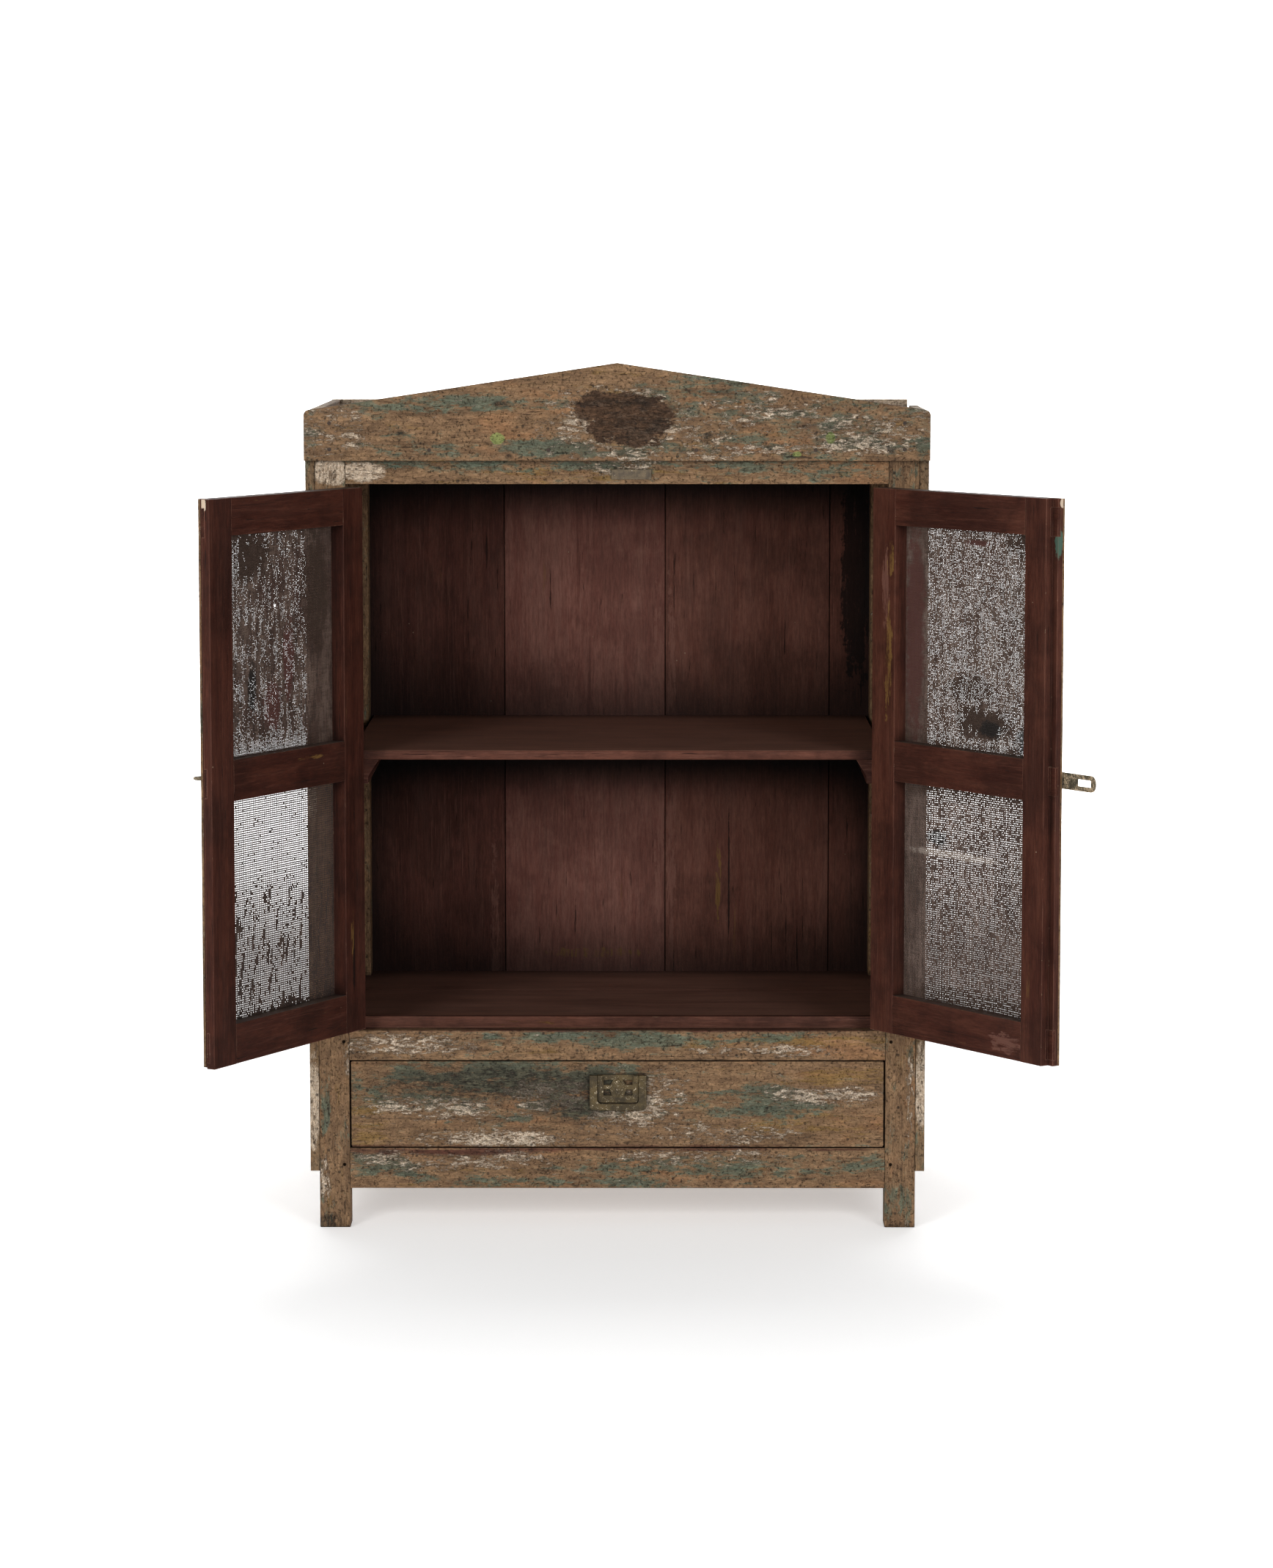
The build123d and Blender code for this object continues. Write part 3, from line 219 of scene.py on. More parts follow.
def worn_coat(
    p, place, grain, seed, green=0.0, cream=0.0, ochre=0.0, brown=("705740", "8a6d50", "4e3b2b"), patches=()
):
    """Old outside finish: brown over green over cream over wood, worn through in
    small flakes along the grain. patches are (kind, centre, radii) in row
    coordinates, where that kind of wear is dense. Returns colour and height."""
    at = p.stretch(place, (1, 1, 1), (seed, seed * 0.7, seed * 1.3))
    run = p.stretch(at, grain_scale(grain, 0.30))
    long = p.stretch(at, grain_scale(grain, 0.06))

    fibres = p.noise(long, 430, 6, 0.66)
    streaks = p.noise(long, 100, 8, 0.70)
    clouds = p.noise(run, 17, 8, 0.68, 0.3)
    mottle = p.noise(run, 95, 10, 0.80, 0.2)
    flakes = p.noise(run, 210, 10, 0.84, 0.3)
    grit = p.noise(at, 600, 4, 0.7)
    patchy = p.noise(run, 30, 7, 0.74)

    fields = {}
    for kind, centre, radii in patches:
        inside = p.blob(centre, radii, 0.50, 42, 0.5)
        fields[kind] = p.math("MAXIMUM", fields[kind], inside) if kind in fields else inside

    def dense(kind, amount):
        return p.times(fields[kind], amount) if kind in fields else 0.0

    colour = p.mix(p.step(mottle, 0.40, 0.60), rgb(brown[0]), rgb(brown[1]))
    colour = p.over(colour, p.step(streaks, 0.52, 0.64), 0.65, brown[2])
    colour = p.over(colour, p.step(fibres, 0.53, 0.66), 0.5, "4d3826")
    colour = p.over(colour, p.step(clouds, 0.54, 0.64), 0.6, "8c6545")

    # Ochre under the brown
    yellow = p.plus(p.noise(p.stretch(at, grain_scale(grain, 0.14), (3, 5, 7)), 80, 9, 0.80),
                    dense("ochre", 0.10))
    yellow = p.plus(yellow, 0.02 * ochre)
    colour = p.over(colour, p.step(yellow, 0.58, 0.68), 0.6, "7a5f2e")

    # Green coat, in a ragged speckle
    level = p.plus(p.times(mottle, 0.55), p.times(patchy, 0.45))
    level = p.plus(level, p.plus(dense("green", 0.085), 0.018 * green))
    green_mask = p.step(level, 0.545, 0.60)
    green_tint = p.mix(p.step(flakes, 0.42, 0.60), rgb("2f4239"), rgb("586f61"))
    colour = p.mix(p.times(green_mask, 0.72), colour, green_tint)

    # Cream coat, left in crumbs
    level = p.plus(p.times(flakes, 0.68), p.times(patchy, 0.32))
    level = p.plus(level, p.plus(dense("cream", 0.085), 0.018 * cream))
    cream_mask = p.step(level, 0.580, 0.612)
    cream_tint = p.mix(p.step(grit, 0.38, 0.66), rgb("9c8770"), rgb("dccdba"))
    colour = p.mix(p.times(cream_mask, 0.86), colour, cream_tint)

    if "solid" in fields:
        solid = p.times(p.step(fields["solid"], 0.3, 0.7), p.step(flakes, 0.40, 0.47))
        cream_mask = p.math("MAXIMUM", cream_mask, solid)
        colour = p.mix(solid, colour, p.mix(p.step(grit, 0.38, 0.66), rgb("a8937c"), rgb("cdbda9")))
    if "lime" in fields:
        colour = p.over(colour, p.step(fields["lime"], 0.4, 0.6), 0.8, "76834a")
    if "maroon" in fields:
        smear = p.times(fields["maroon"], p.step(streaks, 0.42, 0.54))
        colour = p.over(colour, smear, 0.85, "4d2a22")
    if "bare" in fields:
        ragged = p.times(p.minus(mottle, 0.5), 2.4)
        worn = p.step(p.plus(fields["bare"], ragged), 0.42, 0.56)
        wood = p.mix(p.step(p.noise(run, 90, 8, 0.74), 0.38, 0.62), rgb("2c1f17"), rgb("553d2c"))
        colour = p.mix(p.times(worn, 0.94), colour, wood)
    if "dark" in fields:
        stain = p.times(fields["dark"], p.step(flakes, 0.42, 0.54))
        colour = p.over(colour, stain, 0.85, "241d17")

    # Dirt in pits, dark specks, stopped nail holes and hairline cracks
    pits = p.step(p.noise(at, 260, 8, 0.80), 0.555, 0.62)
    colour = p.over(colour, pits, 0.68, "241b14")
    specks = p.times(p.step(p.cells(at, 85), 0.22, 0.13), p.step(p.noise(at, 41, 4, 0.6), 0.48, 0.56))
    colour = p.over(colour, specks, 0.7, "271f19")
    cracks = p.step(p.noise(p.stretch(at, grain_scale(grain, 0.09), (9, 2, 4)), 200, 5, 0.6), 0.675, 0.705)
    colour = p.over(colour, cracks, 0.75, "231a13")
    tone = p.mix(p.step(p.noise(run, 520, 7, 0.82), 0.36, 0.64), (0.58, 0.58, 0.58), (1.30, 1.30, 1.30))
    colour = p.shaded(colour, tone, 0.85)

    tone = p.mix(p.step(p.noise(run, 140, 9, 0.84), 0.40, 0.60), (0.72, 0.70, 0.68), (1.24, 1.24, 1.24))
    colour = p.shaded(colour, tone, 0.7)

    # Arrises: rubbed dark wood with remains of cream
    edge = p.edges(0.0022)
    edge_bit = p.times(edge, p.step(p.noise(run, 90, 8, 0.78), 0.44, 0.58))
    edge_tint = p.mix(p.step(p.noise(at, 190, 7, 0.78), 0.52, 0.57), rgb("38291c"), rgb("a08d76"))
    colour = p.mix(p.times(edge_bit, 0.8), colour, edge_tint)

    height = p.plus(p.times(cream_mask, 0.5), p.times(flakes, 0.7))
    height = p.plus(height, p.times(fibres, 0.35))
    height = p.minus(height, p.times(pits, 0.6))
    height = p.minus(height, p.times(cracks, 0.9))
    height = p.minus(height, p.times(specks, 0.6))
    return colour, height


def worn_paint(name, grain="X", seed=0.0, origin=(0, 0, 0), turn=0.0, **coat):
    p = Paint(name)
    colour, height = worn_coat(p, p.place(origin, turn), grain, seed, **coat)
    # Painted shade: darker in creases and between parts, where other surfaces close in.
    colour = p.corner_shade(colour, 0.014, 0.42, 0.86, 0.30)
    rough = p.plus(0.62, p.times(height, 0.2))
    p.shader.inputs["Specular IOR Level"].default_value = 0.18
    return p.finish(colour, rough, height, 0.0009, 1.0)


def red_paint(
    name, grain="Z", seed=0.0, origin=(0, 0, 0), turn=0.0, tone=("452620", "5a332b", "2f1814"),
    dust=0.0, wear=0.6, scratch=0.3, patches=(), gloss=0.55, outside=None, corner_shade=None, line_tint="7d574a",
    settled=None, shadow_bands=(),
):
    """Inside finish: one thick brushed coat of maroon over wood, rubbed at the arrises.
    outside is (kind, y, sense): the faces beyond that y are worn paint or bare wood.
    settled is (colour, share) of the dust lying on upward faces. The bands of painted shadow are
    (clean below, black at, ends at) heights where the colour is darkened nearly to black."""
    p = Paint(name)
    place = p.place(origin, turn)
    at = p.stretch(place, (1, 1, 1), (seed, seed * 1.7, seed * 0.6))
    run = p.stretch(at, grain_scale(grain, 0.12))
    long = p.stretch(at, grain_scale(grain, 0.03))
    brush = p.noise(long, 480, 5, 0.62)
    bands = p.noise(run, 55, 9, 0.72, 0.2)
    clouds = p.noise(at, 7.5, 7, 0.66)
    grit = p.noise(at, 500, 5, 0.7)
    board = p.noise(long, 70, 8, 0.70)

    colour = p.mix(p.step(bands, 0.36, 0.64), rgb(tone[0]), rgb(tone[1]))
    colour = p.over(colour, p.step(clouds, 0.55, 0.38), 0.6, tone[2])
    colour = p.over(colour, p.step(board, 0.57, 0.68), 0.6, tone[2])
    colour = p.over(colour, p.step(brush, 0.54, 0.68), 0.28, line_tint)
    shade = p.mix(p.step(p.noise(run, 330, 7, 0.8), 0.34, 0.66), (0.66, 0.66, 0.66), (1.28, 1.28, 1.28))
    colour = p.shaded(colour, shade, 0.75)
    if dust:
        dusty = p.times(p.step(p.noise(run, 24, 8, 0.76), 0.44, 0.68), dust)
        colour = p.mix(dusty, colour, rgb("6f5248"))

    # Rubs and scratches down to the wood, mostly along the grain
    rub = p.noise(p.stretch(at, grain_scale(grain, 0.07), (4, 1, 8)), 75, 9, 0.80)
    rub = p.plus(rub, p.times(p.minus(clouds, 0.5), 0.35))
    rub = p.times(p.step(rub, 0.645, 0.69), scratch)
    colour = p.mix(rub, colour, rgb("76572f"))
    scars = p.step(p.noise(p.stretch(at, grain_scale(grain, 0.05), (7, 3, 2)), 240, 4, 0.6), 0.665, 0.70)
    colour = p.over(colour, scars, 0.75, "150b08")
    chips = p.times(p.step(p.cells(at, 60), 0.075, 0.05),
                   p.step(p.noise(at, 21, 3, 0.5), 0.60, 0.64))
    colour = p.over(colour, chips, 0.7, "a08873")
    tatter = p.noise(run, 120, 9, 0.82)
    for kind, centre, radii in patches:
        tint, depth, cover = {
            "cream": ("cdb9a3", 0.9, 0.55), "green": ("466154", 0.85, 0.55), "ochre": ("76592f", 0.7, 0.10),
            "dark": ("140a08", 0.85, 0.35), "light": ("7a554a", 0.5, 0.15),
        }[kind]
        mask = p.blob(centre, radii, 0.5, 60, 0.5)
        mask = p.plus(mask, p.times(p.minus(tatter, 0.5), 2.2))
        mask = p.step(mask, 1.05 - cover, 1.2 - cover)
        colour = p.over(colour, mask, depth, tint)

    edge = p.edges(0.0016)
    line = p.times(edge, p.step(p.noise(run, 34, 8, 0.74), 0.38, 0.58))
    colour = p.over(colour, line, wear, "7d5648")
    nick = p.times(edge, p.step(p.noise(at, 90, 7, 0.75), 0.60, 0.65))
    colour = p.over(colour, nick, wear, "a38a72")

    height = p.plus(p.times(brush, 0.5), p.times(bands, 0.6))
    height = p.plus(height, p.times(grit, 0.25))
    height = p.minus(height, p.times(rub, 0.5))
    height = p.minus(height, p.times(p.math("MAXIMUM", chips, scars), 0.6))
    # Painted shadow: bands of height darkened nearly to black, under the shelf and under the top.
    for low, full, end in shadow_bands:
        high = p.axis(place, "Z")
        band = p.times(p.step(high, low, full), p.step(high, end + 0.01, end))
        colour = p.mix(band, colour, p.mix(1.0, colour, (0.05, 0.05, 0.05), "MULTIPLY"))
    if outside:
        kind, limit, sense = outside
        beyond = p.step(p.axis(place, "Y"), limit - 0.0002 * sense, limit + 0.0002 * sense)
        if kind == "worn":
            coat, coat_height = worn_coat(p, place, grain, seed + 2.0, green=0.3, cream=1.6, ochre=0.3)
        else:
            boards = p.noise(long, 60, 8, 0.7)
            coat = p.mix(p.step(boards, 0.30, 0.72), rgb("4d3d2e"), rgb("6a5642"))
            coat = p.mix(p.times(p.step(brush, 0.52, 0.68), 0.5), coat, rgb("3a2d22"))
            coat = p.mix(p.times(p.step(clouds, 0.50, 0.66), 0.5), coat, rgb("3f3226"))
            coat = p.mix(1.0, coat, shade, "MULTIPLY")
            coat_height = boards
        colour = p.mix(beyond, colour, coat)
        height = p.plus(p.times(height, p.minus(1.0, beyond)),
                        p.times(coat_height, beyond))
    if settled:
        tint, amount = settled
        up = p.step(p.axis(p.add("ShaderNodeNewGeometry", out=1), "Z"), 0.6, 0.9)
        lying = p.times(up, p.plus(amount, p.times(p.minus(bands, 0.5), 1.2)))
        colour = p.mix(lying, colour, rgb(tint))
    # Painted shade where other pieces close in, from an ambient occlusion node.
    if corner_shade:
        colour = p.corner_shade(colour, *corner_shade)
    rough = p.plus(gloss - 0.05, p.times(bands, 0.3))
    p.shader.inputs["Specular IOR Level"].default_value = 0.12
    return p.finish(colour, rough, height, 0.0006, 1.0)


def bare_wood(name, grain, seed):
    """Unpainted, dusty hardwood with long grain and stains."""
    p = Paint(name)
    at = p.stretch(p.base, (1, 1, 1), (seed, seed, seed))
    long = p.stretch(at, grain_scale(grain, 0.03))
    run = p.stretch(at, grain_scale(grain, 0.2))
    rings = p.noise(long, 70, 7, 0.62, 0.6)
    fibre = p.noise(long, 480, 4, 0.6)
    stain = p.noise(at, 5, 6, 0.62)
    colour = p.mix(p.step(rings, 0.34, 0.66), rgb("6f5236"), rgb("8d6d49"))
    colour = p.over(colour, p.step(fibre, 0.55, 0.72), 0.5, "4a3523")
    colour = p.over(colour, p.step(stain, 0.50, 0.70), 0.5, "3a2b1f")
    spots = p.times(p.step(p.cells(run, 60), 0.12, 0.08),
                   p.step(p.noise(at, 18, 3, 0.5), 0.56, 0.62))
    colour = p.over(colour, spots, 0.7, "241a13")
    edge = p.times(p.edges(0.0016), p.step(p.noise(at, 50, 5, 0.7), 0.45, 0.60))
    colour = p.over(colour, edge, 0.4, "a88a64")
    height = p.plus(p.times(rings, 0.6), p.times(fibre, 0.5))
    rough = p.plus(0.66, p.times(stain, 0.25))
    p.shader.inputs["Specular IOR Level"].default_value = 0.3
    return p.finish(colour, rough, height, 0.0006, 0.8)


def old_metal(name, tones, fleck, fleck_amount=0.5, rust=0.4, metal=0.6, seed=0.0, scale=1.0):
    """Dull metal with tarnish, rust and flecks of old paint left in the low places."""
    p = Paint(name)
    at = p.stretch(p.base, (1, 1, 1), (seed, seed * 2, seed * 3))
    broad = p.noise(at, 90 * scale, 6, 0.65)
    medium = p.noise(at, 300 * scale, 7, 0.7)
    small = p.noise(at, 900 * scale, 5, 0.7)
    colour = p.mix(p.step(broad, 0.35, 0.65), rgb(tones[0]), rgb(tones[1]))
    colour = p.over(colour, p.step(medium, 0.52, 0.66), rust, tones[2])
    flecks = p.step(p.plus(p.times(medium, 0.5), p.times(small, 0.5)),
                    0.63 - 0.08 * fleck_amount, 0.66 - 0.08 * fleck_amount)
    flecks = p.times(flecks, p.step(broad, 0.38, 0.56))
    colour = p.over(colour, flecks, 0.9, fleck)
    edge = p.times(p.edges(0.0007), p.step(medium, 0.40, 0.62))
    colour = p.over(colour, edge, 0.45, tones[3])
    metallic = p.times(p.minus(1.0, flecks), metal)
    height = p.plus(p.times(medium, 0.7), p.times(small, 0.4))
    height = p.plus(height, p.times(flecks, 0.5))
    rough = p.plus(0.42, p.times(medium, 0.35))
    return p.finish(colour, rough, height, 0.00025, 0.8, metallic)


def wire_paint(name, origin, turn, tones, stains, seed):
    """Paint on woven wire: broad brushed tones with stains, each of a kind, x, z and
    two half sizes in door coordinates."""
    p = Paint(name)
    place = p.place(origin, turn)
    at = p.stretch(place, (1, 1, 1), (seed, seed, seed))
    clouds = p.noise(p.stretch(at, (1, 1, 0.45)), 28, 8, 0.74, 0.3)
    hatch = p.plus(p.times(p.noise(p.stretch(at, (1, 1, 0.10)), 420, 5, 0.65), 0.65),
                   p.times(p.noise(p.stretch(at, (0.12, 1, 1)), 420, 5, 0.65), 0.35))
    grit = p.noise(at, 520, 4, 0.7)
    colour = p.mix(p.step(clouds, 0.40, 0.60), rgb(tones[0]), rgb(tones[1]))
    colour = p.over(colour, p.step(hatch, 0.46, 0.58), 0.7, tones[2])
    colour = p.over(colour, p.step(grit, 0.60, 0.70), 0.4, "1d1814")
    tints = {"brown": "3a281d", "maroon": "55302a", "black": "17120f", "blue": "4c4d4e",
             "light": "8d8076"}
    for kind, x, z, wide, high in stains:
        mask = p.blob((x, MESH_Y, z), (wide, STAIN_DEPTH, high), 0.8, 75, 0.3, place)
        colour = p.over(colour, mask, 0.9, tints[kind])
    rough = p.plus(0.5, p.times(clouds, 0.35))
    return p.finish(colour, rough, grit, 0.0002, 0.5)


# ---------------------------------------------------------------- woven panels

OPENINGS = {"lower": (0.054, 0.354), "upper": (0.4095, 0.708)}
PANEL_X = (0.039, 0.338)
PANEL_EDGE = 0.011  # how far the wire runs on under the beads
CLOG_X = (0.050, 0.327)
CLOG_EDGE = 0.002
MESH_Y = 0.0035
STAIN_DEPTH = 0.02
WIRE_THICK = 0.05  # half thickness of a wire, as a share of the pitch
WIRE_SIDES = 4
WIRE_CORNER = 1.414  # from a square wire's middle to its corner, over its half width
WANDER = 0.06  # sideways drift of a wire, as a share of the pitch
BEAD_SIZE = 0.5
BEAD_THICK = 0.12


def scene_mesh(name, mesh, smooth=False):
    """A bmesh made into an object of the scene."""
    data = bpy.data.meshes.new(name)
    mesh.to_mesh(data)
    mesh.free()
    for polygon in data.polygons:
        polygon.use_smooth = smooth
    piece = bpy.data.objects.new(name, data)
    SCENE.collection.objects.link(piece)
    return piece


def weave(name, side, level, across, pitch, half, steps, holes, sag):
    """One direction of a plain weave as zigzag wires: across=True runs along the width."""
    z0, z1 = OPENINGS[level][0] - PANEL_EDGE, OPENINGS[level][1] + PANEL_EDGE
    x0, x1 = PANEL_X
    sign = DOORS[side][2]
    columns = int((x1 - x0) / pitch)
    rows = int((z1 - z0) / pitch)
    wires, length, begin = (rows, columns, x0) if across else (columns, rows, z0)
    flat = Vector((0, 0, 1)) if across else Vector((1, 0, 0))
    place = door_matrix(side)
    rng = random.Random(f"{name}-weave")
    thick = pitch * WIRE_THICK
    mesh = bmesh.new()
    for wire in range(wires):
        offset = (wire + 0.5) * pitch + (z0 if across else x0)
        phase = wire % 2
        wander = rng.uniform(-WANDER, WANDER) * pitch
        previous = None
        for knot in range(length * steps + 1):
            along = begin + knot * pitch / steps
            over = math.cos(math.pi * (knot / steps - 0.5 + phase)) * (1 if across else -1)
            drift = wander + WANDER * pitch * noise.noise(Vector((offset * 40, along * 25, 1.7)))
            wave = sag * math.sin(along * 31 + offset * 9)
            if across:
                point = Vector((sign * along, MESH_Y + over * thick, offset + drift + wave))
            else:
                point = Vector((sign * (offset + drift), MESH_Y + over * thick, along))
            ring = []
            for corner in range(WIRE_SIDES):
                angle = 2 * math.pi * (corner + 0.5) / WIRE_SIDES
                sideways = flat * (half * math.cos(angle) * WIRE_CORNER)
                outwards = Vector((0, thick * math.sin(angle) * WIRE_CORNER, 0))
                ring.append(mesh.verts.new(place @ (point + sideways + outwards)))
            local = Vector((along, 0, offset)) if across else Vector((offset, 0, along))
            gone = any((local - Vector((hx, 0, hz))).length < hr for hx, hz, hr in holes)
            if previous and not gone:
                for k in range(WIRE_SIDES):
                    after = (k + 1) % WIRE_SIDES
                    mesh.faces.new((previous[k], previous[after], ring[after], ring[k]))
            previous = ring
    loose = [v for v in mesh.verts if not v.link_faces]
    bmesh.ops.delete(mesh, geom=loose, context="VERTS")
    bmesh.ops.recalc_face_normals(mesh, faces=mesh.faces)
    return scene_mesh(name, mesh, smooth=True)


def clogs(name, side, level, pitch, chance):
    """Beads of dried paint filling single holes of the weave. chance(x, z) is 0 to 1."""
    z0, z1 = OPENINGS[level][0] - CLOG_EDGE, OPENINGS[level][1] + CLOG_EDGE
    x0, x1 = CLOG_X
    start_x, start_z = PANEL_X[0], OPENINGS[level][0] - PANEL_EDGE
    sign = DOORS[side][2]
    place = door_matrix(side)
    rng = random.Random(f"{name}-clogs")
    mesh = bmesh.new()
    column = int((x0 - start_x) / pitch)
    while start_x + (column + 1) * pitch < x1:
        x = start_x + (column + 1) * pitch
        row = int((z0 - start_z) / pitch)
        while start_z + (row + 1) * pitch < z1:
            z = start_z + (row + 1) * pitch
            if rng.random() < chance(x, z):
                half = pitch * BEAD_SIZE * rng.uniform(0.85, 1.15)
                thick = pitch * BEAD_THICK
                centre = Vector((sign * x, MESH_Y, z))
                lean = half * rng.uniform(-0.2, 0.2)
                corners = (
                    (half, 0, lean), (0, 0, half), (-half, 0, 0), (0, 0, -half),
                    (0, thick, 0), (0, -thick, 0),
                )
                tips = [mesh.verts.new(place @ (centre + Vector(corner))) for corner in corners]
                for a, b in ((0, 1), (1, 2), (2, 3), (3, 0)):
                    mesh.faces.new((tips[a], tips[b], tips[4]))
                    mesh.faces.new((tips[b], tips[a], tips[5]))
            row += 1
        column += 1
    bmesh.ops.recalc_face_normals(mesh, faces=mesh.faces)
    return scene_mesh(name, mesh)


def patch(x, z, cx, cz, rx, rz):
    """How far inside a ragged ellipse a point is, at least 0."""
    far = math.hypot((x - cx) / rx, (z - cz) / rz)
    far += 0.9 * noise.noise(Vector((x * 90, z * 90, 4.2)))
    return max(0.0, min(1.0, 1.6 - 1.6 * far))


def streak(x, z, scale, seed):
    """Noise drawn out upwards, about 0."""
    return noise.fractal(Vector((x * 120 * scale, z * 26 * scale, seed)), 1.0, 2.0, 4)


# How likely a hole at x, z of each panel is to be filled with dried paint


def left_lower(x, z):
    low = max(0.0, min(1.0, (0.25 - z) / 0.08))
    smears = 2.2 * low * max(0.0, streak(x + z * 0.12, z, 1.0, 2.0) - 0.06)
    bars = 0.6 * patch(x, z, 0.10, 0.205, 0.012, 0.003) + 0.6 * patch(x, z, 0.22, 0.212, 0.010, 0.003)
    return 0.02 + smears + bars + 0.7 * max(0.0, 1 - (z - 0.054) / 0.007)


def right_lower(x, z):
    smears = 0.4 * max(0.0, streak(x * 0.6, z * 2.0, 0.8, 9.0))
    return 0.22 + smears + 0.6 * max(0.0, 1 - (0.354 - z) / 0.008)


def left_upper(x, z):
    light = 0.9 * max(0.0, (x - 0.285) / 0.042) + 0.8 * max(0.0, 1 - (z - 0.4095) / 0.03)
    cluster = 0.8 * patch(x, z, 0.300, 0.655, 0.022, 0.030)
    top = 0.6 * patch(x, z, 0.250, 0.675, 0.045, 0.035)
    return 0.76 + 0.8 * streak(x, z * 1.6, 0.9, 5.0) - light - cluster + top


def right_upper(x, z):
    stain = patch(x, z, 0.215, 0.447, 0.055, 0.022)
    top = patch(x, z, 0.205, 0.692, 0.030, 0.005)
    corner = patch(x, z, 0.300, 0.695, 0.040, 0.014)
    return 0.48 + 0.4 * streak(x * 0.6, z * 2.4, 1.0, 7.0) + 1.2 * stain + 0.9 * top + 0.3 * corner


# Each panel's weave, wire colours, stains (kind, x, z, two half sizes), holes (x, z, radius) and clogs
COARSE = 0.00295
FINE = 0.00190
PANELS = {
    ("left", "lower"): {
        "pitch": COARSE, "half": 0.00076, "sag": 0.0, "chance": left_lower, "black": True,
        "tones": ("3c2a22", "4e3b31", "2a1d17"), "stains": (), "holes": (),
    },
    ("right", "lower"): {
        "pitch": COARSE, "half": 0.00097, "sag": 0.0007, "chance": right_lower, "black": False,
        "tones": ("4a3830", "65534a", "34271f"), "holes": (),
        "stains": (
            ("brown", -0.18, 0.345, 0.13, 0.010), ("brown", -0.2, 0.065, 0.12, 0.014),
            ("black", -0.12, 0.28, 0.02, 0.010), ("light", -0.16, 0.26, 0.10, 0.005),
        ),
    },
    ("left", "upper"): {
        "pitch": FINE, "half": 0.00063, "sag": 0.0, "chance": left_upper, "black": False,
        "tones": ("4c372e", "6b574c", "30221b"), "holes": ((0.193, 0.606, 0.0024),),
        "stains": (
            ("brown", 0.265, 0.675, 0.055, 0.035), ("maroon", 0.16, 0.53, 0.012, 0.05),
            ("maroon", 0.20, 0.47, 0.020, 0.03), ("light", 0.320, 0.56, 0.010, 0.12),
            ("black", 0.25, 0.50, 0.010, 0.03), ("brown", 0.09, 0.62, 0.03, 0.08),
        ),
    },
    ("right", "upper"): {
        "pitch": FINE, "half": 0.00063, "sag": 0.0, "chance": right_upper, "black": False,
        "tones": ("59443a", "76645a", "3f3028"), "holes": ((0.226, 0.664, 0.0014), (0.205, 0.646, 0.0012)),
        "stains": (
            ("brown", -0.215, 0.447, 0.062, 0.022), ("black", -0.235, 0.440, 0.025, 0.010),
            ("maroon", -0.205, 0.690, 0.026, 0.004), ("brown", -0.19, 0.49, 0.05, 0.02),
            ("blue", -0.31, 0.43, 0.02, 0.02), ("brown", -0.31, 0.695, 0.04, 0.02),
            ("maroon", -0.07, 0.56, 0.020, 0.14),
        ),
    },
}

for (side, level), panel in PANELS.items():
    name = f"{side}_{level}"
    turn = DOORS[side][1]
    paint = wire_paint(
        f"{name}_wire", door_matrix(side).translation, turn, panel["tones"], panel["stains"],
        seed=len(side) + len(level),
    )
    steps = 2 if level == "lower" else 1
    for label, across in (("weft", True), ("warp", False)):
        wires = weave(
            f"{name}_{label}", side, level, across, panel["pitch"], panel["half"], steps,
            panel["holes"], panel["sag"],
        )
        wires.data.materials.append(paint)
        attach(wires, f"{side}_door")
        if across:
            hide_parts(f"{side}_door_{level}_mesh")
    beads = clogs(f"{name}_clogs", side, level, panel["pitch"], panel["chance"])
    if panel["black"]:
        paint = old_metal(
            f"{name}_dried", ("17130f", "241c16", "0f0c0a", "3a2f26"), "2f2620", 0.1, 0.4, 0.0
        )
    beads.data.materials.append(paint)
    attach(beads, f"{side}_door")


# ---------------------------------------------------------------- materials on the nodes


def dress(node, material):
    for slot in NODES[node].material_slots:
        slot.material = material


FLAT = 0.03  # depth of a patch through the surface it lies on


def marks(y, *rows):
    """Patches on a face at y, from rows of kind, x, z and two half sizes, in millimetres."""
    return tuple(
        (kind, tuple(mm(x, y, z)), (wide / 1000, FLAT, high / 1000)) for kind, x, z, wide, high in rows
    )


dress("pediment", worn_paint(
    "pediment_paint", "X", 1.3, green=-0.3, cream=0.1, ochre=0.8,
    patches=marks(
        -14,
        ("bare", 16, 1138, 60, 34),
        ("bare", -22, 1156, 40, 20),
        ("bare", 40, 1150, 30, 20),
        ("ochre", 10, 1168, 35, 12),
        ("cream", 10, 1135, 110, 52),
        ("cream", 190, 1150, 100, 30),
        ("cream", 120, 1110, 40, 45),
        ("cream", -395, 1120, 50, 40),
        ("cream", 340, 1120, 100, 30),
        ("cream", 230, 1098, 180, 8),
        ("green", 270, 1125, 150, 40),
        ("green", -230, 1160, 150, 14),
        ("green", -100, 1100, 260, 14),
        ("green", 120, 1160, 120, 35),
        ("green", -422, 1115, 14, 34),
        ("green", 424, 1110, 12, 36),
        ("lime", -166, 1113, 9, 7),
        ("lime", 295, 1114, 6, 8),
        ("lime", 249, 1091, 6, 4),
        ("dark", 126, 1121, 6, 14),
        ("dark", -300, 1120, 5, 4),
        ("dark", -150, 1088, 5, 4),
        ("dark", 380, 1097, 6, 4),
        ("dark", -160, 1160, 10, 6),
    ),
))
dress("top_rail", worn_paint(
    "top_rail_paint", "X", 4.1, green=-0.4, cream=-0.5, ochre=0.9,
    patches=marks(
        0,
        ("solid", -352, 1066, 30, 14),
        ("green", -160, 1076, 240, 10),
        ("ochre", -80, 1063, 140, 10),
        ("cream", 0, 1076, 60, 12),
        ("green", 200, 1074, 160, 12),
    ),
))
